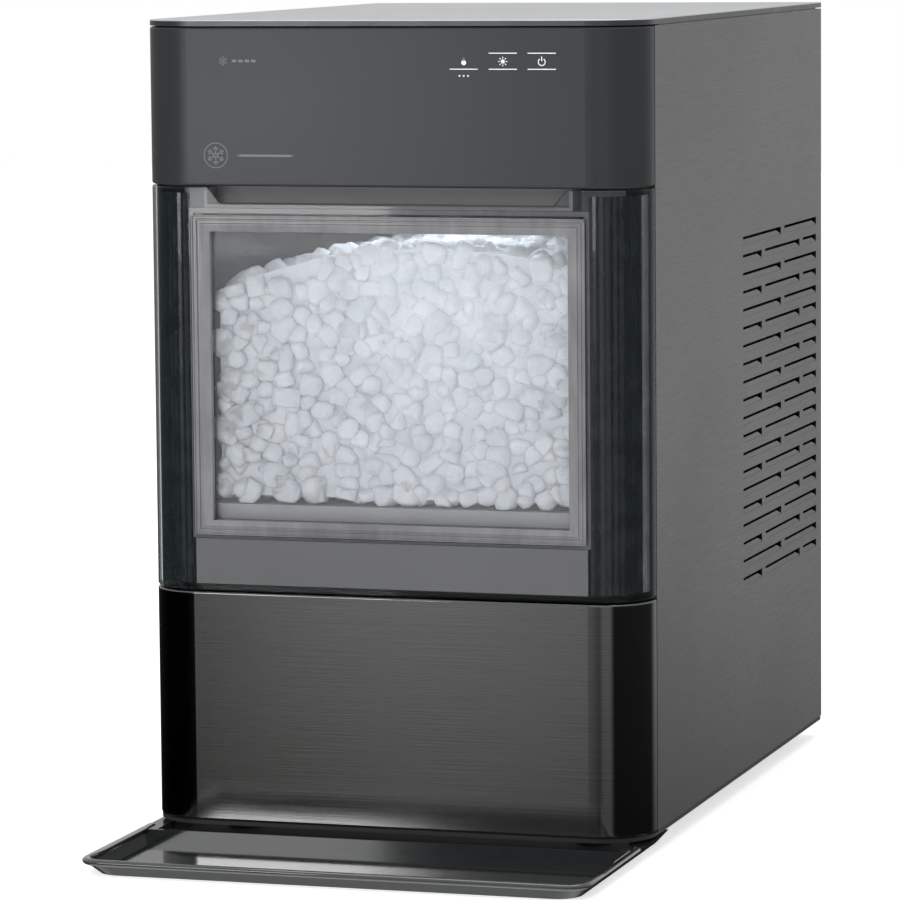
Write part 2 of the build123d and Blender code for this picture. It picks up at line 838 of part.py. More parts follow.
spout_head = 6.0
spout_end = spout_y + sheet + spout_head
with BuildPart() as drain_spouts:
    for x in spout_places:
        bar("Y", (x, (spout_inner + spout_end) / 2, drain_z), spout_end - spout_inner, spout_radius - 1)
        bar("Y", (x, spout_end - spout_head / 2, drain_z), spout_head, spout_radius)
        bar("Y", (x, spout_y, drain_z), 4 * pocket_depth, spout_bore, Mode.SUBTRACT)
save(drain_spouts, "drain_spouts")

cap_reach = 4.0
with BuildPart() as drain_caps:
    for x in spout_places:
        bar("Y", (x, spout_end, drain_z), 2 * cap_reach, spout_radius + seat + cap_wall)
        bar("Y", (x, spout_end - cap_reach + seat, drain_z), 2 * cap_reach, spout_radius + seat, Mode.SUBTRACT)
save(drain_caps, "drain_caps")

gland_y = rear_panel_y + sheet
with BuildPart() as inlet_gland:
    bar("Y", (gland_side, gland_y - 2, gland_z), 6, gland_radius - 2)
    bar("Y", (gland_side, gland_y + 0.8, gland_z), 1.6, gland_radius)
    bar("Y", (gland_side, gland_y, gland_z), 20, gland_bore, Mode.SUBTRACT)
save(inlet_gland, "inlet_gland")

# ---------------------------------------------------------------- auger, evaporator and drive
pinion_x = auger_x + gear_module * (pinion_teeth + wheel_teeth) / 2
gearbox_z = pan_top + gearbox_lift
gear_z = gearbox_z + gearbox_wall + 2.0
gearbox_top = barrel_low - fit
gearbox_split = gearbox_top - gearbox_wall
shaft_radius = 3.0
wheel_space = gear_module * (wheel_teeth / 2 + 1) + 2.0
pinion_space = gear_module * (pinion_teeth / 2 + 1) + 2.0


def gearbox_plan(z, margin):
    """Sketch around both gears: one circle each and the tangents between them."""
    with BuildSketch(Plane.XY.offset(z)) as plan:
        with Locations((auger_x, auger_y)):
            Circle(wheel_space + margin)
        with Locations((pinion_x, auger_y)):
            Circle(pinion_space + margin)
        make_hull()
    return plan.sketch


with BuildPart() as gearbox_housing:
    extrude(gearbox_plan(gearbox_z, gearbox_wall), amount=gearbox_split - gearbox_z)
    extrude(
        gearbox_plan(gearbox_z + gearbox_wall, 0), amount=gearbox_split - gearbox_z, mode=Mode.SUBTRACT
    )
    for x, y in ((auger_x - 34, -16), (auger_x - 34, 16), (auger_x + 8, -34), (auger_x + 8, 34)):
        post(x, auger_y + y, pan_top, gearbox_z, 4)
    post(auger_x, auger_y, gearbox_z - 6, gearbox_z, bush_radius)
    post(auger_x, auger_y, gearbox_z - 3, gear_z, journal_radius + running_gap, Mode.SUBTRACT)
    post(pinion_x, auger_y, gearbox_z - 1, gear_z, shaft_radius + running_gap, Mode.SUBTRACT)
save(gearbox_housing, "gearbox_housing")

with BuildPart() as gearbox_cover:
    extrude(gearbox_plan(gearbox_split, gearbox_wall), amount=gearbox_wall)
    post(auger_x, auger_y, gearbox_split - 1, gearbox_top + 1, journal_radius + running_gap, Mode.SUBTRACT)
save(gearbox_cover, "gearbox_cover")


def gear_outline(teeth, turn):
    """Points around an involute spur gear with one tooth's middle at the angle turn."""
    pitch = gear_module * teeth / 2
    base = pitch * math.cos(math.radians(pressure_angle))
    tip = pitch + gear_module
    root = pitch - 1.25 * gear_module

    def flank(radius):
        """Half of a tooth's angle at a radius."""
        involute = lambda r: math.sqrt(max((r / base) ** 2 - 1, 0)) - math.acos(min(base / r, 1))
        half = math.pi / (2 * teeth) - gear_backlash / (4 * pitch)
        return half + involute(pitch) - involute(radius)

    low = max(base, root)
    radii = [low + (tip - low) * step / 4 for step in range(5)]
    points = []
    for tooth in range(teeth):
        middle = turn + 2 * math.pi * tooth / teeth
        for radius, side in [(root, -1)] + [(r, -1) for r in radii] + [(r, 1) for r in radii[::-1]] + [(root, 1)]:
            angle = middle + side * flank(max(radius, low))
            points.append((radius * math.cos(angle), radius * math.sin(angle)))
    if root >= base:
        return [p for i, p in enumerate(points) if p != points[i - 1]]
    return points


def gear(x, y, z, teeth, turn, bore):
    """A spur gear of the common face width with a plain bore."""
    with BuildSketch(Plane.XY.offset(z)) as face:
        with Locations((x, y)):
            with BuildLine():
                Polyline(*gear_outline(teeth, turn), close=True)
            make_face()
            Circle(bore, mode=Mode.SUBTRACT)
    extrude(face.sketch, amount=gear_face)


with BuildPart() as output_gear:
    gear(0, 0, 0, wheel_teeth, 0, journal_radius + fit / 2)
output_gear.part.locate(Location((auger_x, auger_y, gear_z)))
save(output_gear, "output_gear")

with BuildPart() as motor_pinion:
    gear(0, 0, 0, pinion_teeth, math.pi + math.pi / pinion_teeth, shaft_radius - 1)
    post(0, 0, -motor_height * 0.7, gear_face, shaft_radius)
motor_pinion.part.locate(Location((pinion_x, auger_y, gear_z)))
save(motor_pinion, "motor_pinion")

with BuildPart() as drive_motor:
    motor_z = gearbox_z - motor_height
    post(pinion_x, auger_y, motor_z, gearbox_z, motor_radius)
    post(pinion_x, auger_y, motor_z + 4, gearbox_z + 1, shaft_radius + running_gap, Mode.SUBTRACT)
save(drive_motor, "drive_motor")

with BuildPart() as evaporator_tube:
    post(auger_x, auger_y, barrel_low, barrel_top, barrel_radius)
    post(auger_x, auger_y, barrel_low - 1, barrel_top + 1, barrel_bore, Mode.SUBTRACT)
save(evaporator_tube, "evaporator_tube")

coil_z = [barrel_low + 26 + i * (barrel_top - barrel_low - 50) / (coil_turns - 1) for i in range(coil_turns)]
coil_radius = barrel_radius + seat + coil_tube
with BuildPart() as evaporator_coil:
    for z in coil_z:
        with Locations((auger_x, auger_y, z)):
            Torus(coil_radius, coil_tube)
save(evaporator_coil, "evaporator_coil")

sleeve_low = coil_z[0] - 2 * coil_tube
sleeve_top = coil_z[-1] + 2 * coil_tube
with BuildPart() as evaporator_insulation:
    post(auger_x, auger_y, sleeve_low, sleeve_top, sleeve_radius)
    post(auger_x, auger_y, sleeve_low - 1, sleeve_top + 1, coil_radius + coil_tube + seat, Mode.SUBTRACT)
save(evaporator_insulation, "evaporator_insulation")

flight_low = barrel_low + 4.0
flight_length = barrel_top - 6.0 - flight_low
with BuildPart() as auger:
    post(auger_x, auger_y, gearbox_z - 2.5, barrel_low + 2, journal_radius)
    post(auger_x, auger_y, barrel_low + 2, barrel_top - 2, auger_core)
    post(auger_x, auger_y, barrel_top - 2, extruder_top - 2, journal_radius)
    with BuildLine() as path:
        Helix(auger_pitch, flight_length, auger_core, center=(auger_x, auger_y, flight_low))
    with BuildSketch(Plane((auger_x, auger_y, flight_low), x_dir=(1, 0, 0), z_dir=(0, -1, 0))) as rib:
        with Locations(((auger_core + auger_radius) / 2 - 0.5, 0)):
            Rectangle(auger_radius - auger_core + 1, flight_thickness)
    sweep(rib.sketch, path=path.line, is_frenet=True)
save(auger, "auger")

with BuildPart() as extruder_head:
    post(auger_x, auger_y, extruder_z, extruder_top, extruder_radius)
    post(auger_x, auger_y, extruder_z - 1, extruder_top + 1, journal_radius + running_gap, Mode.SUBTRACT)
    with BuildSketch(Plane.XY.offset(extruder_top + 1)) as slots:
        with Locations((auger_x, auger_y)):
            with PolarLocations((journal_radius + barrel_bore) / 2, extruder_slots):
                Rectangle(8, 6)
    extrude(slots.sketch, amount=-extruder_height - 2, mode=Mode.SUBTRACT)
save(extruder_head, "extruder_head")

# ---------------------------------------------------------------- refrigeration
compressor_y = bay_rear + compressor_back
compressor_z = pan_top + mount_height
mount_places = [(math.cos(a) * 48, math.sin(a) * 48) for a in (math.pi / 4 + i * math.pi / 2 for i in range(4))]
with BuildPart() as compressor_mounts:
    for x, y in mount_places:
        post(compressor_side + x, compressor_y + y, pan_top, compressor_z, mount_radius)
save(compressor_mounts, "compressor_mounts")

with BuildPart() as compressor:
    with Locations((compressor_side, compressor_y, compressor_z + compressor_base + compressor_height / 2)):
        Cylinder(compressor_radius, compressor_height)
    fillet(compressor.edges().filter_by(GeomType.CIRCLE), 14)
    with Locations((compressor_side, compressor_y, compressor_z + compressor_base + compressor_height / 2)):
        Cylinder(compressor_radius + 1.5, 5)
    with BuildSketch(Plane.XY.offset(compressor_z)) as base:
        with Locations((compressor_side, compressor_y)):
            Rectangle(88, 88)
        fillet(base.vertices(), 10)
    extrude(base.sketch, amount=compressor_base)
    post(compressor_side, compressor_y, compressor_z, compressor_z + compressor_base + 14, 30)
save(compressor, "compressor")
compressor_top = compressor_z + compressor_base + compressor_height

condenser_x = half_width - 12.0 - condenser_depth / 2
condenser_z = pan_top + condenser_lift
condenser_y = louvre_centre - condenser_shift
row_pitch = condenser_height / tube_rows
row_z = [condenser_z + row_pitch * (row + 0.5) for row in range(tube_rows)]
fin_count = int(condenser_length / fin_pitch) + 1
fin_y = [condenser_y + (i - (fin_count - 1) / 2) * fin_pitch for i in range(fin_count)]
with BuildPart() as condenser_fins:
    with BuildSketch(Plane.XZ.offset(-fin_y[0])) as fin:
        with Locations((condenser_x, condenser_z + condenser_height / 2)):
            Rectangle(condenser_depth, condenser_height)
        for z in row_z:
            with Locations((condenser_x, z)):
                Circle(condenser_tube + seat / 2, mode=Mode.SUBTRACT)
    for y in fin_y:
        with Locations((0, y - fin_y[0], 0)):
            add(extrude(fin.sketch, amount=fin_thickness, both=False, mode=Mode.PRIVATE))
save(condenser_fins, "condenser_fins")

bend_reach = 10.0
tube_front = fin_y[0] - bend_reach
tube_rear = fin_y[-1] + bend_reach
tube_inlet_z = row_z[-1] + 24.0
tube_outlet_z = row_z[0] - 30.0
route = [(condenser_x, tube_rear, tube_inlet_z)]
for index, z in enumerate(reversed(row_z)):
    ends = (tube_rear, tube_front) if index % 2 == 0 else (tube_front, tube_rear)
    route += [(condenser_x, end, z) for end in ends]
route.append((condenser_x, tube_rear, tube_outlet_z))
with BuildPart() as condenser_tubes:
    pipe(route, condenser_tube, 9.0)
save(condenser_tubes, "condenser_tubes")

fan_z = condenser_z + condenser_height / 2
ring_radius = fan_radius + fan_tip_gap
shroud_x = condenser_x - condenser_depth / 2 - seat - shroud_thickness
rotor_x = shroud_x - fan_depth / 2 - 1
arm_x = rotor_x - fan_depth / 2 - 3
arm_places = [math.pi / 2 + i * 2 * math.pi / 3 for i in range(3)]
motor_x = arm_x - 1.5 - fan_motor_length / 2
with BuildPart() as fan_shroud:
    block(
        (shroud_x, fin_y[0], condenser_z),
        (shroud_x + shroud_thickness, fin_y[-1], condenser_z + condenser_height),
    )
    bar("X", (rotor_x + 1, condenser_y, fan_z), fan_depth + 2, ring_radius + shroud_thickness)
    bar("X", (rotor_x, condenser_y, fan_z), 3 * fan_depth, ring_radius, Mode.SUBTRACT)
    # Three arms carry the ring that the fan motor sits in
    for angle in arm_places:
        reach = (ring_radius + fan_motor_radius) / 2 + 1
        length = ring_radius - fan_motor_radius + 2
        centre = (arm_x, condenser_y + reach * math.cos(angle), fan_z + reach * math.sin(angle))
        with Locations(Location(centre, (math.degrees(angle), 0, 0))):
            Box(3, length, 7)
        outer = ring_radius + 1
        centre = (arm_x + 3, condenser_y + outer * math.cos(angle), fan_z + outer * math.sin(angle))
        with Locations(Location(centre, (math.degrees(angle), 0, 0))):
            Box(9, 2 * shroud_thickness - 2, 7)
    bar("X", (arm_x - 1.5, condenser_y, fan_z), 6, fan_motor_radius + 2)
    bar("X", (arm_x - 1.5, condenser_y, fan_z), 8, fan_motor_radius + seat, Mode.SUBTRACT)
save(fan_shroud, "fan_shroud")

with BuildPart() as fan_motor:
    bar("X", (motor_x, condenser_y, fan_z), fan_motor_length, fan_motor_radius)
    bar("X", (motor_x + 6, condenser_y, fan_z), fan_motor_length, shaft_radius + running_gap, Mode.SUBTRACT)
save(fan_motor, "fan_motor")

with BuildPart() as fan_rotor:
    for blade in range(fan_blades):
        angle = 360 * blade / fan_blades
        with Locations(Location((rotor_x, condenser_y, fan_z), (angle, 0, 0))):
            with Locations(Location((0, (fan_radius + fan_hub) / 2 - 2, 0), (0, 58, 0))):
                Box(1.8, fan_radius - fan_hub + 8, 24)
    bar("X", (rotor_x, condenser_y, fan_z), fan_depth, fan_radius, Mode.INTERSECT)
    bar("X", (rotor_x, condenser_y, fan_z), fan_depth, fan_hub)
    shaft_end = motor_x - fan_motor_length / 2 + 8
    bar("X", ((rotor_x + shaft_end) / 2, condenser_y, fan_z), rotor_x - shaft_end, shaft_radius)
save(fan_rotor, "fan_rotor")

port_angle = 14.0
discharge_start = (compressor_side - port_angle, compressor_y + port_angle, compressor_top + seat)
discharge_z = tube_inlet_z + 8.0
with BuildPart() as discharge_line:
    x, y, z = discharge_start
    pipe(
        (
            (x, y, z),
            (x, y, discharge_z),
            (x, tube_rear, discharge_z),
            (condenser_x, tube_rear, discharge_z),
            (condenser_x, tube_rear, tube_inlet_z + seat),
        ),
        line_radius,
        4.5,
    )
save(discharge_line, "discharge_line")

drier_top = tube_outlet_z - seat
drier_low = drier_top - drier_length
with BuildPart() as filter_drier:
    post(condenser_x, tube_rear, drier_low, drier_top, drier_radius)
    fillet(filter_drier.edges().filter_by(GeomType.CIRCLE), 3)
save(filter_drier, "filter_drier")

capillary_radius = 1.5
riser_x = auger_x + coil_radius
with BuildPart() as capillary_line:
    low = pan_top + 11.0
    high = barrel_low + 8.0
    back = auger_y + sleeve_radius + 26.0
    pipe(
        (
            (condenser_x, tube_rear, drier_low - seat),
            (condenser_x, tube_rear, low),
            (condenser_x, back, low),
            (riser_x + 20, back, low),
            (riser_x + 20, back, high),
            (riser_x, back, high),
            (riser_x, auger_y, high),
            (riser_x, auger_y, coil_z[0] - coil_tube - seat),
        ),
        capillary_radius,
        4.0,
    )
save(capillary_line, "capillary_line")

with BuildPart() as suction_line:
    start_x = auger_x - coil_radius
    high = sleeve_top + 8.0
    pipe(
        (
            (start_x, auger_y, coil_z[-1] + coil_tube + seat),
            (start_x, auger_y, high),
            (start_x, auger_y + 60, high),
            (compressor_side + port_angle, auger_y + 60, high),
            (compressor_side + port_angle, compressor_y - port_angle, high - 20),
            (compressor_side + port_angle, compressor_y - port_angle, compressor_top + seat),
        ),
        line_radius,
        5.0,
    )
save(suction_line, "suction_line")

# ---------------------------------------------------------------- electronics
board_x = 74.0
board_y = bay_front + 86.0
board_z = bay_high + standoff_height
with BuildPart() as board_standoffs:
    for x in (-1, 1):
        for y in (-1, 1):
            post(
                board_x + x * (main_board_size[0] / 2 - 5),
                board_y + y * (main_board_size[1] / 2 - 5),
                bay_high,
                board_z,
                standoff_radius,
            )
save(board_standoffs, "board_standoffs")

with BuildPart() as main_board:
    half_x, half_y = main_board_size[0] / 2, main_board_size[1] / 2
    block(
        (board_x - half_x, board_y - half_y, board_z),
        (board_x + half_x, board_y + half_y, board_z + board_thickness),
    )
    deck = board_z + board_thickness
    block((board_x - 30, board_y - 48, deck), (board_x - 4, board_y - 20, deck + 20))
    for i in range(3):
        block((board_x + 8, board_y - 46 + 22 * i, deck), (board_x + 28, board_y - 32 + 22 * i, deck + 14))
    for i in range(2):
        post(board_x - 16 + 18 * i, board_y + 14, deck, deck + 22, 7)
    block((board_x - 30, board_y + 36, deck), (board_x + 30, board_y + 46, deck + 9))
save(main_board, "main_board")

# ---------------------------------------------------------------- drip tray
tray_front = front_y - tray_reach
tray_back = front_y + tray_tuck


def tray_plan(z, inset, back):
    """Sketch of the tray's outline with its round front corners."""
    with BuildSketch(Plane.XY.offset(z)) as plan:
        with Locations((0, (tray_front + inset + back) / 2)):
            Rectangle(tray_width - 2 * inset, back - tray_front - inset)
        fillet(plan.vertices().group_by(Axis.Y)[0], tray_corner)
    return plan.sketch


pan_back = front_y - 12.0
shelf_z = 4.6
rail_back = front_y + tray_rail_length
rail_inner = tray_width / 2 - tray_rail_width
hook_front = front_y + corner_radius / 2
with BuildPart() as drip_tray:
    loft([tray_plan(0, tray_flare, rail_back), tray_plan(tray_height, 0, rail_back)])
    # Pan hollow, then the low shelf that tucks under the body
    loft(
        [
            tray_plan(tray_floor, tray_flare + tray_wall, pan_back),
            tray_plan(tray_height, tray_wall, pan_back),
        ],
        mode=Mode.SUBTRACT,
    )
    block(
        (-tray_width / 2 + tray_wall + tray_flare, pan_back + tray_wall, shelf_z),
        (tray_width / 2 - tray_wall - tray_flare, tray_back + 1, tray_height + 1),
        mode=Mode.SUBTRACT,
    )
    # Behind the shelf only the two side rails are left, hooked up close to the body
    block((-rail_inner, tray_back, -1), (rail_inner, rail_back + 1, tray_height + 1), mode=Mode.SUBTRACT)
    for side in (-1, 1):
        hook = sorted((side * rail_inner, side * (rail_inner + tray_wall)))
        block((hook[0], hook_front, tray_floor), (hook[1], rail_back, pan_z - seat))
save(drip_tray, "drip_tray")
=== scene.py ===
"""Looks of the countertop ice maker: finishes for every CAD piece,
loose ice with a painted glow, window frame, corner strips painted as shade and a highlight, louvre fins, tray rim,
printed legends and studio."""

import json
import math
import random

import bmesh
import bpy
from mathutils import Matrix, Vector, noise


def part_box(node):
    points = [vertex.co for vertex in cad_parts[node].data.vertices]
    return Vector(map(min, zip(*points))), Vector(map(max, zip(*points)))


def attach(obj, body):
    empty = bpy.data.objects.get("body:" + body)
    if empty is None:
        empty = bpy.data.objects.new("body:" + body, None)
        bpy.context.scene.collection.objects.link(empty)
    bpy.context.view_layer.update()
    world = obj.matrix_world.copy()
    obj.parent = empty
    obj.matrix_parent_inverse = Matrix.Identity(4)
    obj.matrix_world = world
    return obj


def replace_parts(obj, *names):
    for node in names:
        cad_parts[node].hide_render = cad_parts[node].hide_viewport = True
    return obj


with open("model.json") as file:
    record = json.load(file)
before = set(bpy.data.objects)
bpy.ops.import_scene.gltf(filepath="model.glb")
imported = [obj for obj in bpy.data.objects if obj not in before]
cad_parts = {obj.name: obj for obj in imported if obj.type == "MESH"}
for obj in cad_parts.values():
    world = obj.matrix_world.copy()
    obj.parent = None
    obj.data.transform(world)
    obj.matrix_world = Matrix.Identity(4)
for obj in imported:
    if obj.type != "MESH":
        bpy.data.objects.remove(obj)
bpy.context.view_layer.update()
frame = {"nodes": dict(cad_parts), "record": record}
nodes = frame["nodes"]
scene = bpy.context.scene

# ------------------------------------------------------------------ camera
EYE = Vector((0.7592, -2.4720, 0.4767))
AIM = Vector((0.00445, -0.04718, 0.19142))
ROLL = math.radians(-0.5)
LENS = 196.4
SHIFT = 0.0044
forward = (AIM - EYE).normalized()
right = forward.cross(Vector((0, 0, 1))).normalized()
above = right.cross(forward)
across = math.cos(ROLL) * right + math.sin(ROLL) * above
upward = math.cos(ROLL) * above - math.sin(ROLL) * right
camera = bpy.data.objects.new("camera", bpy.data.cameras.new("camera"))
camera.data.lens = LENS
camera.data.sensor_width = 36.0
camera.data.shift_x = -SHIFT
camera.data.shift_y = SHIFT
camera.data.clip_start = 0.1
camera.data.clip_end = 50.0
camera.matrix_world = Matrix.Translation(EYE) @ Matrix((across, upward, -forward)).transposed().to_4x4()
scene.collection.objects.link(camera)
scene.camera = camera
scene.view_settings.view_transform = "Standard"


# ------------------------------------------------------------------ finishes
GRAIN_RANGE = (0.7, 1.3)  # sum of both noises, from the first colour to the second


def shader(name):
    """An empty finish with its shader node, and a small helper that adds linked nodes."""
    material = bpy.data.materials.new(name)
    material.use_nodes = True
    tree = material.node_tree
    surface = tree.nodes["Principled BSDF"]

    def add(kind, links=(), **values):
        node = tree.nodes.new(kind)
        for key, value in values.items():
            if key in node.bl_rna.properties:
                setattr(node, key, value)
            else:
                node.inputs[key.replace("_", " ")].default_value = value
        for socket, source in links:
            tree.links.new(source, node.inputs[socket])
        return node

    return material, tree, surface, add


def finish(name, colour, second, stretch, rough, relief=0.0, depth=0.0002, clouds=6.0, **sockets):
    """Fine grain over slow clouding: both shift the colour and the roughness, and the grain gives relief."""
    material, tree, surface, add = shader(name)
    place = add("ShaderNodeTexCoord").outputs["Object"]
    drawn = add("ShaderNodeMapping", [("Vector", place)])
    drawn.inputs["Scale"].default_value = stretch
    grain = add("ShaderNodeTexNoise", [("Vector", drawn.outputs["Vector"])], Scale=1.0, Detail=4.0)
    cloud = add("ShaderNodeTexNoise", [("Vector", place)], Scale=clouds, Detail=2.0)
    both = add("ShaderNodeMath", [(0, grain.outputs["Fac"]), (1, cloud.outputs["Fac"])], operation="ADD")
    share = add("ShaderNodeMapRange", [("Value", both.outputs["Value"])])
    share.inputs["From Min"].default_value, share.inputs["From Max"].default_value = GRAIN_RANGE
    tint = add("ShaderNodeMix", [(0, share.outputs["Result"])], data_type="RGBA")
    tint.inputs[6].default_value = (*colour, 1)
    tint.inputs[7].default_value = (*second, 1)
    sheen = add("ShaderNodeMapRange", [("Value", share.outputs["Result"])])
    sheen.inputs["To Min"].default_value = rough[0]
    sheen.inputs["To Max"].default_value = rough[1]
    tree.links.new(tint.outputs[2], surface.inputs["Base Color"])
    tree.links.new(sheen.outputs["Result"], surface.inputs["Roughness"])
    if relief:
        bump = add("ShaderNodeBump", [("Height", grain.outputs["Fac"])], Strength=relief, Distance=depth)
        tree.links.new(bump.outputs["Normal"], surface.inputs["Normal"])
    for key, value in sockets.items():
        surface.inputs[key.replace("_", " ")].default_value = value
    return material


fine = (900, 900, 900)  # grain too small to see
finishes = {
    "cover_metal": finish(
        "cover_metal", (0.70, 0.71, 0.73), (0.75, 0.76, 0.78), (60, 60, 60), (0.30, 0.38), 0.06, Metallic=0.85
    ),
    "head_plastic": finish(
        "head_plastic", (0.048, 0.051, 0.056), (0.054, 0.057, 0.062), fine, (0.30, 0.36), 0.04, Metallic=0.5
    ),
    "side_metal": finish(
        "side_metal", (0.125, 0.121, 0.119), (0.140, 0.135, 0.133), (900, 40, 900), (0.24, 0.32), 0.05, Metallic=0.9
    ),
    "black_steel": finish(
        "black_steel",
        (0.185, 0.183, 0.180),
        (0.235, 0.232, 0.229),
        (14, 14, 2600),
        (0.08, 0.14),
        0.08,
        Metallic=1.0,
        Anisotropic=0.5,
        Anisotropic_Rotation=0.25,
    ),
    "chassis_metal": finish(
        "chassis_metal", (0.045, 0.045, 0.047), (0.058, 0.058, 0.06), fine, (0.42, 0.52), 0.1, Metallic=0.5
    ),
    "grey_plastic": finish("grey_plastic", (0.24, 0.24, 0.25), (0.27, 0.27, 0.28), fine, (0.4, 0.5), 0.05),
    "liner_plastic": finish("liner_plastic", (0.50, 0.51, 0.53), (0.54, 0.55, 0.57), (60, 60, 60), (0.35, 0.45), 0.03),
    "black_plastic": finish("black_plastic", (0.018, 0.018, 0.019), (0.026, 0.026, 0.027), fine, (0.42, 0.55), 0.2),
    "tray_plastic": finish(
        "tray_plastic", (0.016, 0.019, 0.020), (0.022, 0.025, 0.026), (300, 300, 300), (0.06, 0.10), 0.02,
        Coat_Weight=0.2
    ),
    "rim_plastic": finish(
        "rim_plastic",
        (0.030, 0.033, 0.035),
        (0.040, 0.043, 0.045),
        (300, 300, 300),
        (0.10, 0.16),
        0.02,
        Coat_Weight=1.0,
        Specular_IOR_Level=1.0,
    ),
    "rubber": finish("rubber", (0.020, 0.020, 0.020), (0.03, 0.03, 0.03), fine, (0.7, 0.85), 0.3),
    "steel": finish("steel", (0.50, 0.50, 0.51), (0.58, 0.58, 0.59), (40, 40, 1200), (0.24, 0.36), 0.2, Metallic=1.0),
    "zinc": finish("zinc", (0.48, 0.49, 0.52), (0.62, 0.62, 0.60), (200, 200, 200), (0.3, 0.45), 0.1, Metallic=1.0),
    "copper": finish(
        "copper", (0.70, 0.33, 0.20), (0.55, 0.24, 0.14), (120, 120, 120), (0.25, 0.42), 0.1, Metallic=1.0
    ),
    "fin_aluminium": finish(
        "fin_aluminium", (0.70, 0.71, 0.73), (0.78, 0.79, 0.81), (400, 400, 60), (0.28, 0.4), 0.1, Metallic=1.0
    ),
    "foam": finish("foam", (0.030, 0.030, 0.030), (0.05, 0.05, 0.05), (500, 500, 500), (0.85, 0.95), 0.6, 0.0008),
    "hose_silicone": finish(
        "hose_silicone", (0.62, 0.62, 0.60), (0.70, 0.70, 0.68), fine, (0.35, 0.45), 0.05, Subsurface_Weight=0.3
    ),
    "white_plastic": finish("white_plastic", (0.72, 0.73, 0.73), (0.78, 0.79, 0.79), fine, (0.4, 0.5), 0.12),
    "compressor_paint": finish(
        "compressor_paint", (0.012, 0.012, 0.013), (0.02, 0.02, 0.021), (250, 250, 250), (0.25, 0.4), 0.25
    ),
    "board": finish("board", (0.012, 0.10, 0.035), (0.02, 0.16, 0.06), (260, 260, 260), (0.3, 0.5), 0.2),
    "lamp": finish("lamp", (0.9, 0.93, 0.96), (0.95, 0.97, 1.0), fine, (0.4, 0.5), 0.05, Emission_Strength=6.0),
    "gear_plastic": finish("gear_plastic", (0.74, 0.70, 0.60), (0.80, 0.76, 0.66), fine, (0.4, 0.5), 0.12),
}
finishes["lamp"].node_tree.nodes["Principled BSDF"].inputs["Emission Color"].default_value = (0.93, 0.97, 1, 1)


HAZE = 45.0
TURNED_AWAY = (0.35, 0.90)  # facing values over which a clear moulding closes up


def clear_finish(name, tint, face_on, edge_on, rough):
    """Clear or smoked moulding: it lets light straight through face on and closes up towards its edges."""
    material, tree, surface, add = shader(name)
    place = add("ShaderNodeTexCoord").outputs["Object"]
    haze = add("ShaderNodeTexNoise", [("Vector", place)], Scale=HAZE, Detail=3.0)
    gloss = add("ShaderNodeMapRange", [("Value", haze.outputs["Fac"])])
    gloss.inputs["To Min"].default_value = rough[0]
    gloss.inputs["To Max"].default_value = rough[1]
    shade = add("ShaderNodeMix", [(0, haze.outputs["Fac"])], data_type="RGBA")
    shade.inputs[6].default_value = (*tint, 1)
    shade.inputs[7].default_value = (*[value * 1.5 for value in tint], 1)
    turned = add("ShaderNodeLayerWeight", Blend=0.5)
    cover = add("ShaderNodeMapRange", [("Value", turned.outputs["Facing"])])
    cover.inputs["From Min"].default_value, cover.inputs["From Max"].default_value = TURNED_AWAY
    cover.inputs["To Min"].default_value = face_on
    cover.inputs["To Max"].default_value = edge_on
    tree.links.new(gloss.outputs["Result"], surface.inputs["Roughness"])
    tree.links.new(shade.outputs[2], surface.inputs["Base Color"])
    tree.links.new(cover.outputs["Result"], surface.inputs["Alpha"])
    surface.inputs["Specular IOR Level"].default_value = 0.9
    return material


finishes["smoke_plastic"] = clear_finish("smoke_plastic", (0.014, 0.019, 0.020), 0.17, 0.96, (0.03, 0.07))
finishes["clear_plastic"] = clear_finish("clear_plastic", (0.55, 0.57, 0.60), 0.06, 0.45, (0.02, 0.05))


ICE_TINTS = ((0.35, 0.38, 0.42), (0.55, 0.57, 0.60))
ICE_GLOSS = (0.16, 0.42)
PAINTED_GLOW_REACH = (0.13, 0.30, 0.17)  # how far the painted glow spreads through the heap, in place of the lamp's light scattered in the ice
# emission strength of the painted glow: far from the lamp, and close to it
ICE_PAINTED_GLOW = (0.02, 0.27)
LUMP = 0.0022  # relief of the lumps


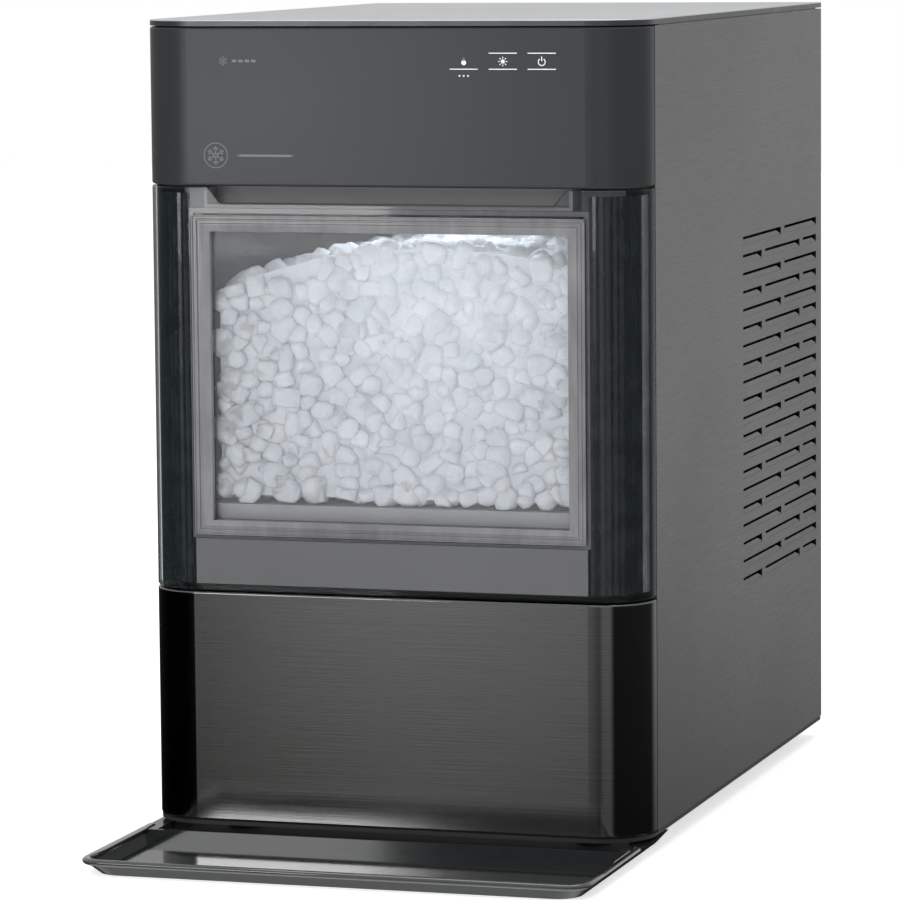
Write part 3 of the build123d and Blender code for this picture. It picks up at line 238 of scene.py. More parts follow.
def ice_finish(lamp):
    """Cloudy pressed ice with a painted glow: emission that stands in for the lamp's light scattered through it."""
    material, tree, surface, add = shader("ice")
    place = add("ShaderNodeTexCoord").outputs["Object"]
    lumps = add("ShaderNodeTexNoise", [("Vector", place)], Scale=170.0, Detail=3.0, Roughness=0.45)
    cloud = add("ShaderNodeTexNoise", [("Vector", place)], Scale=60.0, Detail=2.0)
    tint = add("ShaderNodeMix", [(0, cloud.outputs["Fac"])], data_type="RGBA")
    tint.inputs[6].default_value = (*ICE_TINTS[0], 1)
    tint.inputs[7].default_value = (*ICE_TINTS[1], 1)
    gloss = add("ShaderNodeMapRange", [("Value", lumps.outputs["Fac"])])
    gloss.inputs["To Min"].default_value, gloss.inputs["To Max"].default_value = ICE_GLOSS
    about = add("ShaderNodeMapping", [("Vector", place)], vector_type="TEXTURE")
    about.inputs["Location"].default_value = lamp
    about.inputs["Scale"].default_value = PAINTED_GLOW_REACH
    reach = add("ShaderNodeTexGradient", [("Vector", about.outputs["Vector"])], gradient_type="SPHERICAL")
    # painted light: emission strength falls off with distance from the lamp, in place of its light scattered through
    # the ice
    patchy = add("ShaderNodeMath", [(0, reach.outputs["Fac"]), (1, tint.outputs[2])], operation="MULTIPLY")
    painted_glow = add("ShaderNodeMapRange", [("Value", patchy.outputs["Value"])])
    painted_glow.inputs["From Max"].default_value = 0.5
    painted_glow.inputs["To Min"].default_value, painted_glow.inputs["To Max"].default_value = ICE_PAINTED_GLOW
    bump = add("ShaderNodeBump", [("Height", lumps.outputs["Fac"])], Strength=0.6, Distance=LUMP)
    tree.links.new(tint.outputs[2], surface.inputs["Base Color"])
    tree.links.new(gloss.outputs["Result"], surface.inputs["Roughness"])
    tree.links.new(painted_glow.outputs["Result"], surface.inputs["Emission Strength"])
    tree.links.new(bump.outputs["Normal"], surface.inputs["Normal"])
    surface.inputs["Emission Color"].default_value = (0.92, 0.95, 1.0, 1)
    surface.inputs["Subsurface Weight"].default_value = 0.5
    surface.inputs["Subsurface Scale"].default_value = 0.008
    surface.inputs["Subsurface Radius"].default_value = (0.8, 0.95, 1.0)
    surface.inputs["IOR"].default_value = 1.31
    return material


lamp_low, lamp_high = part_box("bin_light")
lamp_middle = (lamp_low + lamp_high) / 2
PAINTED_GLOW_ASIDE, PAINTED_GLOW_BELOW = 0.02, 0.03  # middle of the painted glow, from the lamp's
finishes["ice"] = ice_finish((lamp_middle.x + PAINTED_GLOW_ASIDE, lamp_middle.y, lamp_low.z - PAINTED_GLOW_BELOW))

cover_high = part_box("top_cover")[1]


EDGE_BLEND = 0.0002
COVER_FACE = 0.0004  # depth of the cover's brushed face, over its edge painted darker as shade


def painted_edge_shade(name, level, colour):
    """Another colour below a level: shade painted on a plate's edge, below its face."""
    tree = finishes[name].node_tree
    base = tree.nodes["Principled BSDF"].inputs["Base Color"]
    face_colour = base.links[0].from_socket
    place = tree.nodes.new("ShaderNodeSeparateXYZ")
    tree.links.new(tree.nodes["Texture Coordinate"].outputs["Object"], place.inputs["Vector"])
    above_edge = tree.nodes.new("ShaderNodeMapRange")
    above_edge.inputs["From Min"].default_value = level - EDGE_BLEND
    above_edge.inputs["From Max"].default_value = level
    tree.links.new(place.outputs["Z"], above_edge.inputs["Value"])
    mixed = tree.nodes.new("ShaderNodeMix")
    mixed.data_type = "RGBA"
    mixed.inputs[6].default_value = (*colour, 1)
    tree.links.new(above_edge.outputs["Result"], mixed.inputs[0])
    tree.links.new(face_colour, mixed.inputs[7])
    tree.links.new(mixed.outputs[2], base)


# painted shade: the cover's edge below its face is coloured dark, in place of the darker reflection the edge shows
painted_edge_shade("cover_metal", cover_high.z - COVER_FACE, (0.13, 0.135, 0.14))

for part in frame["record"]["subparts"]:
    surfaces = nodes[part["node"]].data.materials
    surfaces.clear()
    surfaces.append(finishes[part["material_slot"]])


# ------------------------------------------------------------------ new pieces
def piece(name, shape, material, body):
    """Turns a finished bmesh into an object that rides on a body."""
    mesh = bpy.data.meshes.new(name)
    shape.to_mesh(mesh)
    shape.free()
    mesh.materials.append(finishes[material] if isinstance(material, str) else material)
    made = bpy.data.objects.new(name, mesh)
    scene.collection.objects.link(made)
    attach(made, body)
    return made


ice_low, ice_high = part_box("ice_nuggets")
CORE_DEPTH = 0.0040  # core below the heap's outside
PRESSED = 0.0003  # gap between the bucket and the nuggets pressed flat against it
WELD = 0.000001  # edges of pressed nuggets shorter than this are dissolved
NUGGET_SIZE = (0.0115, 0.0175)
NUGGET_MARGIN = 0.0058  # middle of the outermost nuggets, from the heap's sides
FRONT_MARGIN = 0.0042
NUGGET_STEP = 0.0088
SECOND_LAYER = 0.0095  # behind the layer at the window
ICE_SEED = 7
BATCH = 40
ICE_CREST = ((-1.0, 111.0), (-0.72, 121.0), (-0.35, 131.0), (0.2, 135.0), (0.65, 132.0), (1.0, 124.0))


def crest_height(x):
    """Height of the heap's top across its width, read off its crest line."""
    share = x / ((ice_high.x - ice_low.x) / 2)
    for (a, low), (b, high) in zip(ICE_CREST, ICE_CREST[1:]):
        if share <= b:
            return ice_low.z + (low + (high - low) * (share - a) / (b - a)) / 1000
    return ice_low.z + ICE_CREST[-1][1] / 1000


def nugget(batch, centre, size, dice):
    """One pressed nugget: a lumpy pebble of a few dozen faces, turned at random."""
    axis = Vector([dice.gauss(0, 1) for _ in range(3)]).normalized()
    turn = Matrix.Rotation(dice.uniform(0, math.pi), 4, axis)
    stretch = Matrix.Diagonal((dice.uniform(0.85, 1.35), dice.uniform(0.75, 1.1), dice.uniform(0.7, 1.0), 1))
    made = bmesh.ops.create_icosphere(batch, subdivisions=2, radius=size / 2)["verts"]
    seed = Vector([dice.uniform(-50, 50) for _ in range(3)])
    flats = [size * dice.uniform(0.28, 0.44) for _ in range(3)]
    for corner in made:
        corner.co = corner.co * (1 + 0.26 * noise.noise(corner.co / size * 2.2 + seed))
        corner.co = [max(-flat, min(flat, value)) for flat, value in zip(flats, corner.co)]
    bmesh.ops.transform(batch, matrix=Matrix.Translation(centre) @ turn @ stretch, verts=made)
    low, high = ice_low + Vector((PRESSED,) * 3), ice_high - Vector((PRESSED,) * 3)
    for corner in made:
        corner.co = [max(least, min(most, value)) for least, most, value in zip(low, high, corner.co)]


def nugget_places(dice):
    """Spots along the window, the side walls and the sloping top of the heap."""
    margin, step = NUGGET_MARGIN, NUGGET_STEP
    front, back = ice_low.y + FRONT_MARGIN, ice_high.y - margin
    columns = [ice_low.x + margin + i * step for i in range(int((ice_high.x - ice_low.x) / step))]
    levels = [ice_low.z + margin + i * step for i in range(int((ice_high.z - ice_low.z) / step))]
    lines = [front + i * step for i in range(int((back - front) / step))]
    spots = [(x, front + depth, z) for x in columns for z in levels for depth in (0, SECOND_LAYER)]
    spots += [(x, y, z) for x in (ice_low.x + margin, ice_high.x - margin) for y in lines[2:] for z in levels]
    spots += [(x, y, crest_height(x) - margin - drop) for x in columns for y in lines[2:] for drop in (0, 0.009)]
    for x, y, z in spots:
        x = max(ice_low.x + margin, min(ice_high.x - margin, x + dice.uniform(-0.0045, 0.0045)))
        y = max(front, min(back, y + dice.uniform(-0.0015, 0.0035)))
        z = max(ice_low.z + margin, z + dice.uniform(-0.0045, 0.0045))
        roof = crest_height(x) - margin
        if z < roof + 0.0025:
            yield Vector((x, y, min(z, roof)))


def add_core(heap):
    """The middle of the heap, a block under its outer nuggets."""
    low, high = ice_low + Vector((CORE_DEPTH,) * 3), ice_high - Vector((CORE_DEPTH,) * 3)
    middle, spread = (low + high) / 2, high - low
    top = bmesh.ops.create_grid(heap, x_segments=14, y_segments=1, size=0.5)["verts"]
    for corner in top:
        x = middle.x + corner.co.x * spread.x
        corner.co = (x, middle.y + corner.co.y * spread.y, crest_height(x) - CORE_DEPTH)
    faces = list({face for corner in top for face in corner.link_faces})
    pulled = bmesh.ops.extrude_face_region(heap, geom=faces, use_keep_orig=True)["geom"]
    for corner in [item for item in pulled if isinstance(item, bmesh.types.BMVert)]:
        corner.co.z = low.z
    core = list({face for corner in top for face in corner.link_faces}) + [
        item for item in pulled if isinstance(item, bmesh.types.BMFace)
    ]
    bmesh.ops.recalc_face_normals(heap, faces=core)


def ice_pile():
    """Nuggets packed in small batches, which keeps each operator quick, and joined into one heap."""
    dice = random.Random(ICE_SEED)
    heap = bmesh.new()
    spots = list(nugget_places(dice))
    for start in range(0, len(spots), BATCH):
        batch = bmesh.new()
        for spot in spots[start : start + BATCH]:
            nugget(batch, spot, dice.uniform(*NUGGET_SIZE), dice)
        for face in batch.faces:
            face.smooth = True
        bmesh.ops.dissolve_degenerate(batch, dist=WELD, edges=batch.edges[:])
        packed = bpy.data.meshes.new("nugget_batch")
        batch.to_mesh(packed)
        batch.free()
        heap.from_mesh(packed)
        bpy.data.meshes.remove(packed)
    add_core(heap)
    made = piece("ice_pile", heap, "ice", "ice_drawer")
    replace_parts(made, "ice_nuggets")


ice_pile()

# ------------------------------------------------------------------ drawer's front
bezel_low, bezel_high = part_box("bin_bezel")
pane_low, pane_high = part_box("bin_window")
shell_low, shell_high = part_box("bin_front_shell")
BEZEL_FLANGE = 0.0018  # hidden edge of the bezel, behind the shell
FLANGE_WIDTH = 0.0036
PANE_OVERLAP = 0.0032  # pane past the window's opening
BEZEL_STEPS = (  # width and rise of each step, from the outer edge to the window
    (0.0008, 0.0),
    (0.0004, -0.0010),
    (0.0014, 0.0),
    (0.0004, 0.0007),
    (0.0008, 0.0),
    (0.0004, -0.0012),
    (0.0016, 0.0),
    (0.0004, 0.0006),
    (0.0006, 0.0),
    (0.0004, -0.0010),
)
CORNER_RADIUS = 0.028
EDGE_BREAK = 0.00018
SHARP = math.radians(25)
SHELL_BACK = 0.0030  # flange's front behind the shell's outer face
FLANGE_TOP = 0.0107  # flange's top below the shell's top edge


def stepped_frame(low, high, steps, opening=None):
    """A closed upright frame: a plate inset ring by ring, opened in the middle and closed behind."""
    middle = (low.z + high.z) / 2
    ring = bmesh.new()
    outline = bmesh.ops.create_grid(ring, x_segments=1, y_segments=1, size=0.5)["verts"]
    bmesh.ops.scale(ring, vec=(high.x - low.x, high.z - low.z, 1), verts=outline)
    pane = next(iter(ring.faces))
    for width, rise in steps:
        bmesh.ops.inset_region(ring, faces=[pane], thickness=width, depth=rise, use_boundary=True)
    if opening:
        half_x, bottom, top = opening
        widest = max(corner.co.x for corner in pane.verts)
        tallest = max(corner.co.y for corner in pane.verts)
        for corner in pane.verts:
            corner.co.x *= half_x / widest
            corner.co.y *= (top - middle if corner.co.y > 0 else middle - bottom) / tallest
    bmesh.ops.delete(ring, geom=[pane], context="FACES_ONLY")
    walls = bmesh.ops.extrude_edge_only(ring, edges=[edge for edge in ring.edges if edge.is_boundary])["geom"]
    for corner in [item for item in walls if isinstance(item, bmesh.types.BMVert)]:
        corner.co.z = low.y - high.y
    bmesh.ops.bridge_loops(ring, edges=[edge for edge in ring.edges if edge.is_boundary])
    bmesh.ops.recalc_face_normals(ring, faces=ring.faces[:])
    sharp = [edge for edge in ring.edges if edge.calc_face_angle(0) > SHARP]
    bmesh.ops.bevel(ring, geom=sharp, offset=EDGE_BREAK, segments=2, profile=0.5, affect="EDGES", material=-1)
    upright = Matrix.Translation((0, low.y, middle)) @ Matrix.Rotation(math.radians(90), 4, "X")
    bmesh.ops.transform(ring, matrix=upright, verts=ring.verts)
    return ring


def window_bezel():
    """The stepped frame around the window, and the wider flange that holds it behind the shell."""
    low = bezel_low + Vector((BEZEL_FLANGE, 0, BEZEL_FLANGE))
    high = bezel_high - Vector((BEZEL_FLANGE, 0, BEZEL_FLANGE))
    opening = (pane_high.x - PANE_OVERLAP, pane_low.z + PANE_OVERLAP, pane_high.z - PANE_OVERLAP)
    grey = finish("bezel_grey", (0.155, 0.155, 0.162), (0.235, 0.235, 0.243), (160, 160, 40), (0.14, 0.22), clouds=14.0)
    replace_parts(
        piece("window_bezel", stepped_frame(low, high, BEZEL_STEPS, opening), grey, "ice_drawer"),
        "bin_bezel",
    )
    behind = Vector((bezel_low.x, shell_low.y + SHELL_BACK, bezel_low.z))
    reach = Vector((bezel_high.x, bezel_high.y, shell_high.z - FLANGE_TOP))
    flange = stepped_frame(behind, reach, ((FLANGE_WIDTH, 0.0),))
    piece("bezel_flange", flange, grey, "ice_drawer")


LINER_GAP = 0.0031  # strip behind the shell's outer face
LINER_END = 0.0032  # strip short of the shell's rims
LINER_THICKNESS = 0.0006
LINER_SWEEP = (2, 70, 90)  # degrees round the corner: start, change from painted shade to the edge strip's paint, end of the curve
FLUTE_DEPTH = 0.0005
FLUTE_ANGLE = 4  # degrees from one flute to the next
# painted shade: dark sheet behind the clear corners, in place of the shade seen through them
finishes["corner_black"] = finish(
    "corner_black",
    (0.008, 0.011, 0.012),
    (0.026, 0.033, 0.035),
    (420, 420, 3),
    (0.16, 0.26),
    clouds=90.0,
    Coat_Weight=0.5,
)
# painted highlight: lighter strip at the right corner's end, in place of the bright highlight seen through its clear
# edge
finishes["corner_grey"] = finish(
    "corner_grey", (0.20, 0.21, 0.22), (0.34, 0.36, 0.37), (300, 300, 4), (0.2, 0.3), clouds=90.0
)


def painted_corner_strip(name, side, first, last, material, tail=0.0):
    """Fluted strip behind the drawer's clear corner, swept between two angles, with a straight tail; its material
    paints the light seen through the corner: dark as painted shade, grey as a painted highlight.
    """
    lining = bmesh.new()
    inner = CORNER_RADIUS - LINER_GAP
    turn = math.radians(first)
    bmesh.ops.create_vert(lining, co=(side * inner * math.sin(turn), -inner * math.cos(turn), 0))
    bmesh.ops.spin(
        lining,
        geom=lining.verts[:],
        cent=(0, 0, 0),
        axis=(0, 0, 1),
        angle=math.radians(last - first) * side,
        steps=round((last - first) / FLUTE_ANGLE),
    )
    flutes = sorted(lining.verts, key=lambda corner: corner.co.y)
    for corner in flutes[1:-1:2]:
        corner.co *= 1 - FLUTE_DEPTH / inner
    if tail:
        bmesh.ops.extrude_vert_indiv(lining, verts=flutes[-1:])["verts"][0].co.y += tail
    raised = bmesh.ops.extrude_edge_only(lining, edges=lining.edges[:])["geom"]
    tops = [item for item in raised if isinstance(item, bmesh.types.BMVert)]
    bmesh.ops.translate(lining, vec=(0, 0, shell_high.z - shell_low.z - 2 * LINER_END), verts=tops)
    bmesh.ops.recalc_face_normals(lining, faces=lining.faces[:])
    bmesh.ops.solidify(lining, geom=lining.faces[:], thickness=LINER_THICKNESS)
    bmesh.ops.recalc_face_normals(lining, faces=lining.faces[:])
    place = (side * (shell_high.x - CORNER_RADIUS), shell_low.y + CORNER_RADIUS, shell_low.z + LINER_END)
    bmesh.ops.translate(lining, vec=place, verts=lining.verts)
    piece(name, lining, material, "ice_drawer")


window_bezel()
for word, side in (("left", -1), ("right", 1)):
    painted_corner_strip(f"painted_corner_strip_{word}", side, *LINER_SWEEP[:2], "corner_black")
    tail = shell_high.y - shell_low.y - CORNER_RADIUS - LINER_END
    # the right edge strip is a painted highlight, the left one painted shade
    edge = "corner_grey" if side > 0 else "corner_black"
    painted_corner_strip(f"painted_corner_edge_{word}", side, *LINER_SWEEP[1:], edge, max(tail, 0))

# ------------------------------------------------------------------ louvres
panel_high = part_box("right_side_panel")[1]
LOUVRE_ROWS = 20
LOUVRE_PITCH = 0.00964
LOUVRE_FOOT = 0.111  # lowest slot's bottom edge
LOUVRE_START, LOUVRE_MIDDLE, LOUVRE_END = 0.0635, 0.154, 0.235
LOUVRE_SPLIT = 0.0445  # bridges on either side of the middle, in every other row
LOUVRE_BRIDGE = 0.008
FIN_HEIGHT = 0.0029  # pressed fin, lower than its slot
FIN_DIP = 0.010  # length over which a fin slopes down to its rear end
FIN_TIP = 0.0004  # fin's height at its rear end
FIN_THICKNESS = 0.0006
FIN_INSET = 0.0002  # fin's face behind the panel's face


def fin(fins, side, start, end, foot):
    """One pressed fin in the lower part of a slot, sloping down at its rear end."""
    top = foot + FIN_HEIGHT
    outline = ((start, foot), (end, foot), (end, foot + FIN_TIP), (end - FIN_DIP, top), (start, top))
    inner = side * (panel_high.x - FIN_INSET - FIN_THICKNESS)
    corners = [bmesh.ops.create_vert(fins, co=(inner, y, z))["vert"][0] for y, z in outline]
    face = bmesh.ops.contextual_create(fins, geom=corners)["faces"]
    pulled = bmesh.ops.extrude_face_region(fins, geom=face, use_keep_orig=True)["geom"]
    outer = [item for item in pulled if isinstance(item, bmesh.types.BMVert)]
    bmesh.ops.translate(fins, vec=(side * FIN_THICKNESS, 0, 0), verts=outer)


def louvre_fins(name, side):
    """Fins of one side panel: two long ones in every other row and three shorter ones in the rest."""
    fins = bmesh.new()
    for row in range(LOUVRE_ROWS):
        foot = LOUVRE_FOOT + (LOUVRE_ROWS - 1 - row) * LOUVRE_PITCH
        bridges = (LOUVRE_MIDDLE,)
        if row % 2:
            bridges = (LOUVRE_MIDDLE - LOUVRE_SPLIT, LOUVRE_MIDDLE + LOUVRE_SPLIT)
        starts = [LOUVRE_START] + [bridge + LOUVRE_BRIDGE / 2 for bridge in bridges]
        ends = [bridge - LOUVRE_BRIDGE / 2 for bridge in bridges] + [LOUVRE_END]
        for start, end in zip(starts, ends):
            fin(fins, side, start, end, foot)
    bmesh.ops.recalc_face_normals(fins, faces=fins.faces[:])
    piece(name, fins, "side_metal", "cabinet")


louvre_fins("louvre_fins_right", 1)
louvre_fins("louvre_fins_left", -1)

# ------------------------------------------------------------------ tray's rolled rim
head_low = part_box("control_head")[0]
tray_low, tray_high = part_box("drip_tray")
RIM_SIZE = (0.0022, 0.0017)  # half width and half height of the rolled rim
RIM_LEVEL = 0.0069
RIM_GAP = 0.0006  # rim's ends ahead of the body's front face
TRAY_CORNER = 0.012


def tray_rim():
    """A bead rolled along the tray's left, front and right edges, up to the body's front face."""
    rim = bmesh.new()
    bead = bmesh.ops.create_circle(rim, segments=20, radius=1.0)["verts"]
    upright = Matrix.Rotation(math.radians(90), 4, "X") @ Matrix.Diagonal((*RIM_SIZE, 1, 1))
    start = Vector((tray_high.x - RIM_SIZE[0], head_low.y - RIM_GAP, RIM_LEVEL))
    bmesh.ops.transform(rim, matrix=Matrix.Translation(start) @ upright, verts=bead)
    loop = rim.edges[:]
    runs = (
        ((0, tray_low.y + TRAY_CORNER - start.y, 0), 1),
        ((tray_low.x - tray_high.x + 2 * TRAY_CORNER, 0, 0), -1),
        ((0, start.y - tray_low.y - TRAY_CORNER, 0), None),
    )
    for run, side in runs:
        pulled = bmesh.ops.extrude_edge_only(rim, edges=loop)["geom"]
        bmesh.ops.translate(rim, vec=run, verts=[item for item in pulled if isinstance(item, bmesh.types.BMVert)])
        loop = [item for item in pulled if isinstance(item, bmesh.types.BMEdge)]
        if side:
            centre = (side * (tray_high.x - TRAY_CORNER), tray_low.y + TRAY_CORNER, 0)
            turned = bmesh.ops.spin(
                rim, geom=loop, cent=centre, axis=(0, 0, 1), angle=math.radians(-90), steps=8
            )["geom_last"]
            loop = [item for item in turned if isinstance(item, bmesh.types.BMEdge)]
    bmesh.ops.holes_fill(rim, edges=[edge for edge in rim.edges if edge.is_boundary], sides=0)
    bmesh.ops.recalc_face_normals(rim, faces=rim.faces[:])
    for face in rim.faces:
        face.smooth = len(face.verts) == 4
    piece("tray_rim", rim, "rim_plastic", "tray")


tray_rim()

# ------------------------------------------------------------------ printed legends
ink = finish("legend_ink", (0.80, 0.81, 0.82), (0.86, 0.87, 0.88), fine, (0.45, 0.55), 0.05)
dim_ink = finish("dim_ink", (0.22, 0.225, 0.23), (0.26, 0.265, 0.27), fine, (0.4, 0.5), 0.05, Metallic=0.5)
PRINT = 0.00006  # thickness of the printed layer


def printed(name, draw, material):
    """A flat print on the head's front face; draw adds its marks in millimetres across and up."""
    marks = bmesh.new()
    draw(marks)
    bmesh.ops.scale(marks, vec=(0.001, 0.001, 0.001), verts=marks.verts)
    for flat in list(marks.faces):
        if flat.normal.z < 0:
            flat.normal_flip()
    raised = bmesh.ops.extrude_face_region(marks, geom=marks.faces[:])
    tops = [item for item in raised["geom"] if isinstance(item, bmesh.types.BMVert)]
    bmesh.ops.translate(marks, vec=(0, 0, PRINT), verts=tops)
    upright = Matrix.Translation((0, head_low.y, 0)) @ Matrix.Rotation(math.radians(90), 4, "X")
    bmesh.ops.transform(marks, matrix=upright, verts=marks.verts)
    bmesh.ops.recalc_face_normals(marks, faces=marks.faces[:])
    return piece(name, marks, material, "cabinet")


def stroke(marks, x, z, length, width, angle=0.0):
    """A straight stroke centred on a point."""
    made = bmesh.ops.create_grid(marks, x_segments=1, y_segments=1, size=0.5)["verts"]
    spin = Matrix.Rotation(math.radians(angle), 4, "Z")
    bmesh.ops.transform(
        marks, matrix=Matrix.Translation((x, z, 0)) @ spin @ Matrix.Diagonal((length, width, 1, 1)), verts=made
    )


def dot(marks, x, z, radius, sides=20):
    """A filled disc."""
    made = bmesh.ops.create_circle(marks, cap_ends=True, segments=sides, radius=radius)["verts"]
    bmesh.ops.translate(marks, vec=(x, z, 0), verts=made)


def arc(marks, x, z, radius, width, start, end, steps=18):
    """An open ring between two angles, as short strokes end to end."""
    sweep = (end - start) / steps
    for index in range(steps):
        angle = math.radians(start + (index + 0.5) * sweep)
        length = 2 * radius * math.tan(math.radians(abs(sweep) / 2)) * 1.08
        stroke(
            marks, x + radius * math.cos(angle), z + radius * math.sin(angle), length, width, math.degrees(angle) + 90
        )


def snowflake(marks, x, z, size, width):
    """Six arms, each with one pair of barbs."""
    for arm in range(3):
        stroke(marks, x, z, size, width, 30 + 60 * arm)
    for arm in range(6):
        angle = math.radians(30 + 60 * arm)
        for side in (-1, 1):
            lean = angle + side * math.radians(50)
            root = size * 0.29
            reach = size * 0.17
            stroke(
                marks,
                x + root * math.cos(angle) + reach / 2 * math.cos(lean),
                z + root * math.sin(angle) + reach / 2 * math.sin(lean),
                reach,
                width,
                math.degrees(lean),
            )


def status_legend(marks):
    snowflake(marks, -84.5, 398.6, 4.6, 0.5)
    for index in range(4):
        stroke(marks, -78.5 + 3.4 * index, 398.6, 2.4, 1.3)


def key_legends(marks):
    """Clean, light and power symbols, each over a thin bar, the light and power symbols also under one."""
    keys = ((42.0, 14.5, False), (62.2, 14.5, True), (82.2, 14.5, True))
    for x, width, over in keys:
        stroke(marks, x, 394.7, width, 0.45)
        if over:
            stroke(marks, x, 402.6, width, 0.45)
    drop_x, lamp_x, power_x = (key[0] for key in keys)
    dot(marks, drop_x, 397.9, 1.25)
    dot(marks, drop_x, 399.6, 0.75, 3)
    stroke(marks, drop_x, 399.3, 1.1, 1.1, 45)
    dot(marks, lamp_x, 398.5, 1.0)
    for ray in range(8):
        angle = math.radians(45 * ray)
        stroke(marks, lamp_x + 1.95 * math.cos(angle), 398.5 + 1.95 * math.sin(angle), 0.9, 0.4, 45 * ray)
    arc(marks, power_x, 398.3, 1.75, 0.5, -235, 55)
    stroke(marks, power_x, 399.8, 2.2, 0.5, 90)
    for index in (-1, 0, 1):
        dot(marks, drop_x + 2.2 * index, 391.4, 0.45, 12)


def emblem(marks):
    """A ringed snowflake with a blank bar beside it."""
    arc(marks, -89.0, 351.2, 6.2, 0.5, 0, 360, 36)
    snowflake(marks, -89.0, 351.2, 9.4, 0.7)
    stroke(marks, -62.5, 351.2, 29.0, 1.1)
    dot(marks, -77.0, 351.2, 0.55)
    dot(marks, -48.0, 351.2, 0.55)


printed("status_legend", status_legend, dim_ink)
printed("key_legends", key_legends, ink)
printed("emblem", emblem, dim_ink)

# ------------------------------------------------------------------ studio
floor_finish = finish("studio_floor", (0.90, 0.90, 0.90), (0.92, 0.92, 0.92), (3, 3, 3), (0.6, 0.7))
ground = bmesh.new()
bmesh.ops.create_grid(ground, x_segments=1, y_segments=1, size=6.0)
floor_mesh = bpy.data.meshes.new("studio_floor")
ground.to_mesh(floor_mesh)
ground.free()
floor_mesh.materials.append(floor_finish)
floor = bpy.data.objects.new("studio_floor", floor_mesh)
scene.collection.objects.link(floor)
floor.visible_glossy = False
lit = floor_finish.node_tree.nodes["Principled BSDF"]
lit.inputs["Emission Color"].default_value = (1, 1, 1, 1)
lit.inputs["Emission Strength"].default_value = 0.62


def softbox(name, place, aim, size, power, tone=(1, 1, 1)):
    """A soft rectangular light that faces a point."""
    data = bpy.data.lights.new(name, "AREA")
    data.shape = "RECTANGLE"
    data.size, data.size_y = size
    data.energy = power
    data.color = tone
    light = bpy.data.objects.new(name, data)
    light.location = place
    light.rotation_euler = (Vector(aim) - Vector(place)).to_track_quat("-Z", "Y").to_euler()
    scene.collection.objects.link(light)
    return light


middle = (0, 0, 0.2)
softbox("key_light", (-0.35, -2.6, 1.3), middle, (1.2, 1.0), 26).visible_glossy = False
softbox("head_light", (-0.58, -1.45, 0.30), (-0.04, -0.14, 0.36), (0.30, 0.20), 1.4)
softbox("top_light", (0, 0.3, 2.6), middle, (2.0, 2.0), 22)
softbox(
    "drawer_lamp",
    (lamp_middle.x + 0.01, lamp_middle.y + 0.02, lamp_low.z - 0.002),
    (lamp_middle.x + 0.01, lamp_middle.y + 0.03, ice_low.z),
    (0.12, 0.03),
    0.022,
    (0.93, 0.97, 1),
)


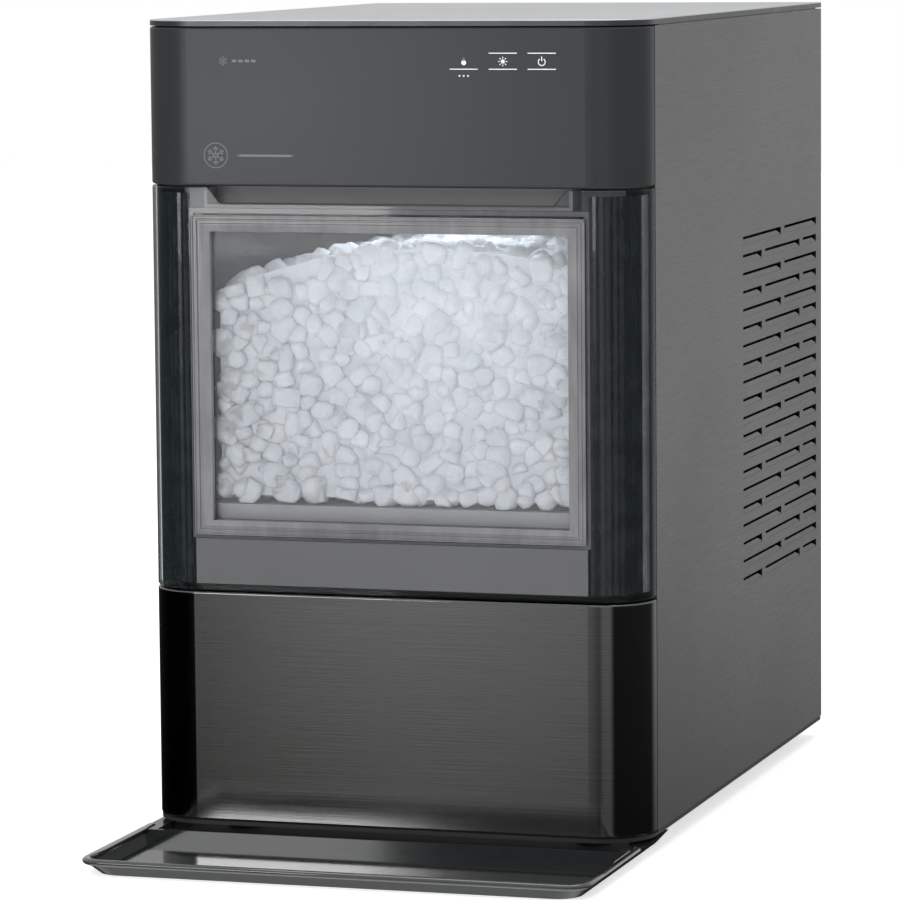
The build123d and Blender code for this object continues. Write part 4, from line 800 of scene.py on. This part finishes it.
def studio_air():
    """White room: dark at its sides with soft bright panels for the metal to mirror, bright overhead."""
    world = bpy.data.worlds.new("studio_air")
    scene.world = world
    world.use_nodes = True
    tree = world.node_tree
    nodes_new, link = tree.nodes.new, tree.links.new

    def ranged(source, span, low=0.0, high=1.0):
        """A value carried from one span to another, and held at its ends."""
        node = nodes_new("ShaderNodeMapRange")
        link(source, node.inputs["Value"])
        for key, value in (("From Min", span[0]), ("From Max", span[1]), ("To Min", low), ("To Max", high)):
            node.inputs[key].default_value = value
        return node.outputs["Result"]

    def leaned(share):
        """Height of a direction, raised towards the rear in proportion to share."""
        node = nodes_new("ShaderNodeMath")
        node.operation = "MULTIPLY_ADD"
        link(height.outputs["Y"], node.inputs[0])
        node.inputs[1].default_value = share
        link(height.outputs["Z"], node.inputs[2])
        return node.outputs["Value"]

    def mixed(share, first, second):
        """Two brightnesses mixed; a number stands for a plain grey."""
        node = nodes_new("ShaderNodeMix")
        node.data_type = "RGBA"
        link(share, node.inputs[0])
        for socket, source in ((node.inputs[6], first), (node.inputs[7], second)):
            if isinstance(source, (int, float)):
                socket.default_value = (source, source, source, 1)
            else:
                link(source, socket)
        return node.outputs[2]

    heading = nodes_new("ShaderNodeTexCoord").outputs["Generated"]
    around = nodes_new("ShaderNodeTexGradient")
    around.gradient_type = "RADIAL"
    link(heading, around.inputs["Vector"])
    panels = nodes_new("ShaderNodeValToRGB")
    link(around.outputs["Fac"], panels.inputs["Fac"])
    stops = panels.color_ramp.elements
    for (turn, level), stop in zip(ROOM[:1] + ROOM[-1:], (stops[0], stops[1])):
        stop.position, stop.color = (turn + 90) / 360, (level, level, level, 1)
    for turn, level in ROOM[1:-1]:
        stops.new((turn + 90) / 360).color = (level, level, level, 1)
    height = nodes_new("ShaderNodeSeparateXYZ")
    link(heading, height.inputs["Vector"])
    low_fade = ranged(height.outputs["Z"], LOW_FADE, LOW_LEVEL)
    front_fade = ranged(leaned(FRONT_LEAN), FRONT_FADE, 1.0, FRONT_LEVEL)
    both = nodes_new("ShaderNodeMath")
    both.operation = "MULTIPLY"
    link(low_fade, both.inputs[0])
    link(front_fade, both.inputs[1])
    dimmed = nodes_new("ShaderNodeVectorMath")
    dimmed.operation = "SCALE"
    link(panels.outputs["Color"], dimmed.inputs[0])
    link(both.outputs["Value"], dimmed.inputs["Scale"])
    below = mixed(ranged(height.outputs["Z"], GROUND_SPAN), dimmed.outputs["Vector"], GROUND)
    room = mixed(ranged(leaned(SKY_LEAN), SKY_SPAN), below, DOME)
    seen = nodes_new("ShaderNodeLightPath")
    backdrop = mixed(seen.outputs["Is Camera Ray"], room, 1)
    link(backdrop, tree.nodes["Background"].inputs["Color"])


GROUND = 0.8  # brightness mirrored from below
DOME = 0.55  # brightness overhead
GROUND_SPAN = (-0.55, -0.80)  # height over which the ground takes over
SKY_SPAN = (-0.02, 0.16)  # height over which the sky takes over
SKY_LEAN = 0.15  # sky lower at the rear than at the front
LOW_FADE, LOW_LEVEL = (-0.20, -0.13), 0.12  # panels fade out towards the ground
FRONT_FADE, FRONT_LEVEL, FRONT_LEAN = (0.61, 0.65), 0.12, -0.6  # and above the horizon in front
ROOM = (  # degrees round from the front towards the right-hand side, and brightness there
    (-90, 0.0),
    (-21, 0.0),
    (-19.6, 0.80),
    (-16.6, 0.80),
    (-15, 0.50),
    (8, 0.22),
    (16, 0.50),
    (30, 0.50),
    (38, 0.04),
    (135, 0.05),
    (150, 0.50),
    (178, 0.62),
    (190, 0.08),
    (205, 0.03),
    (270, 0.0),
)
studio_air()
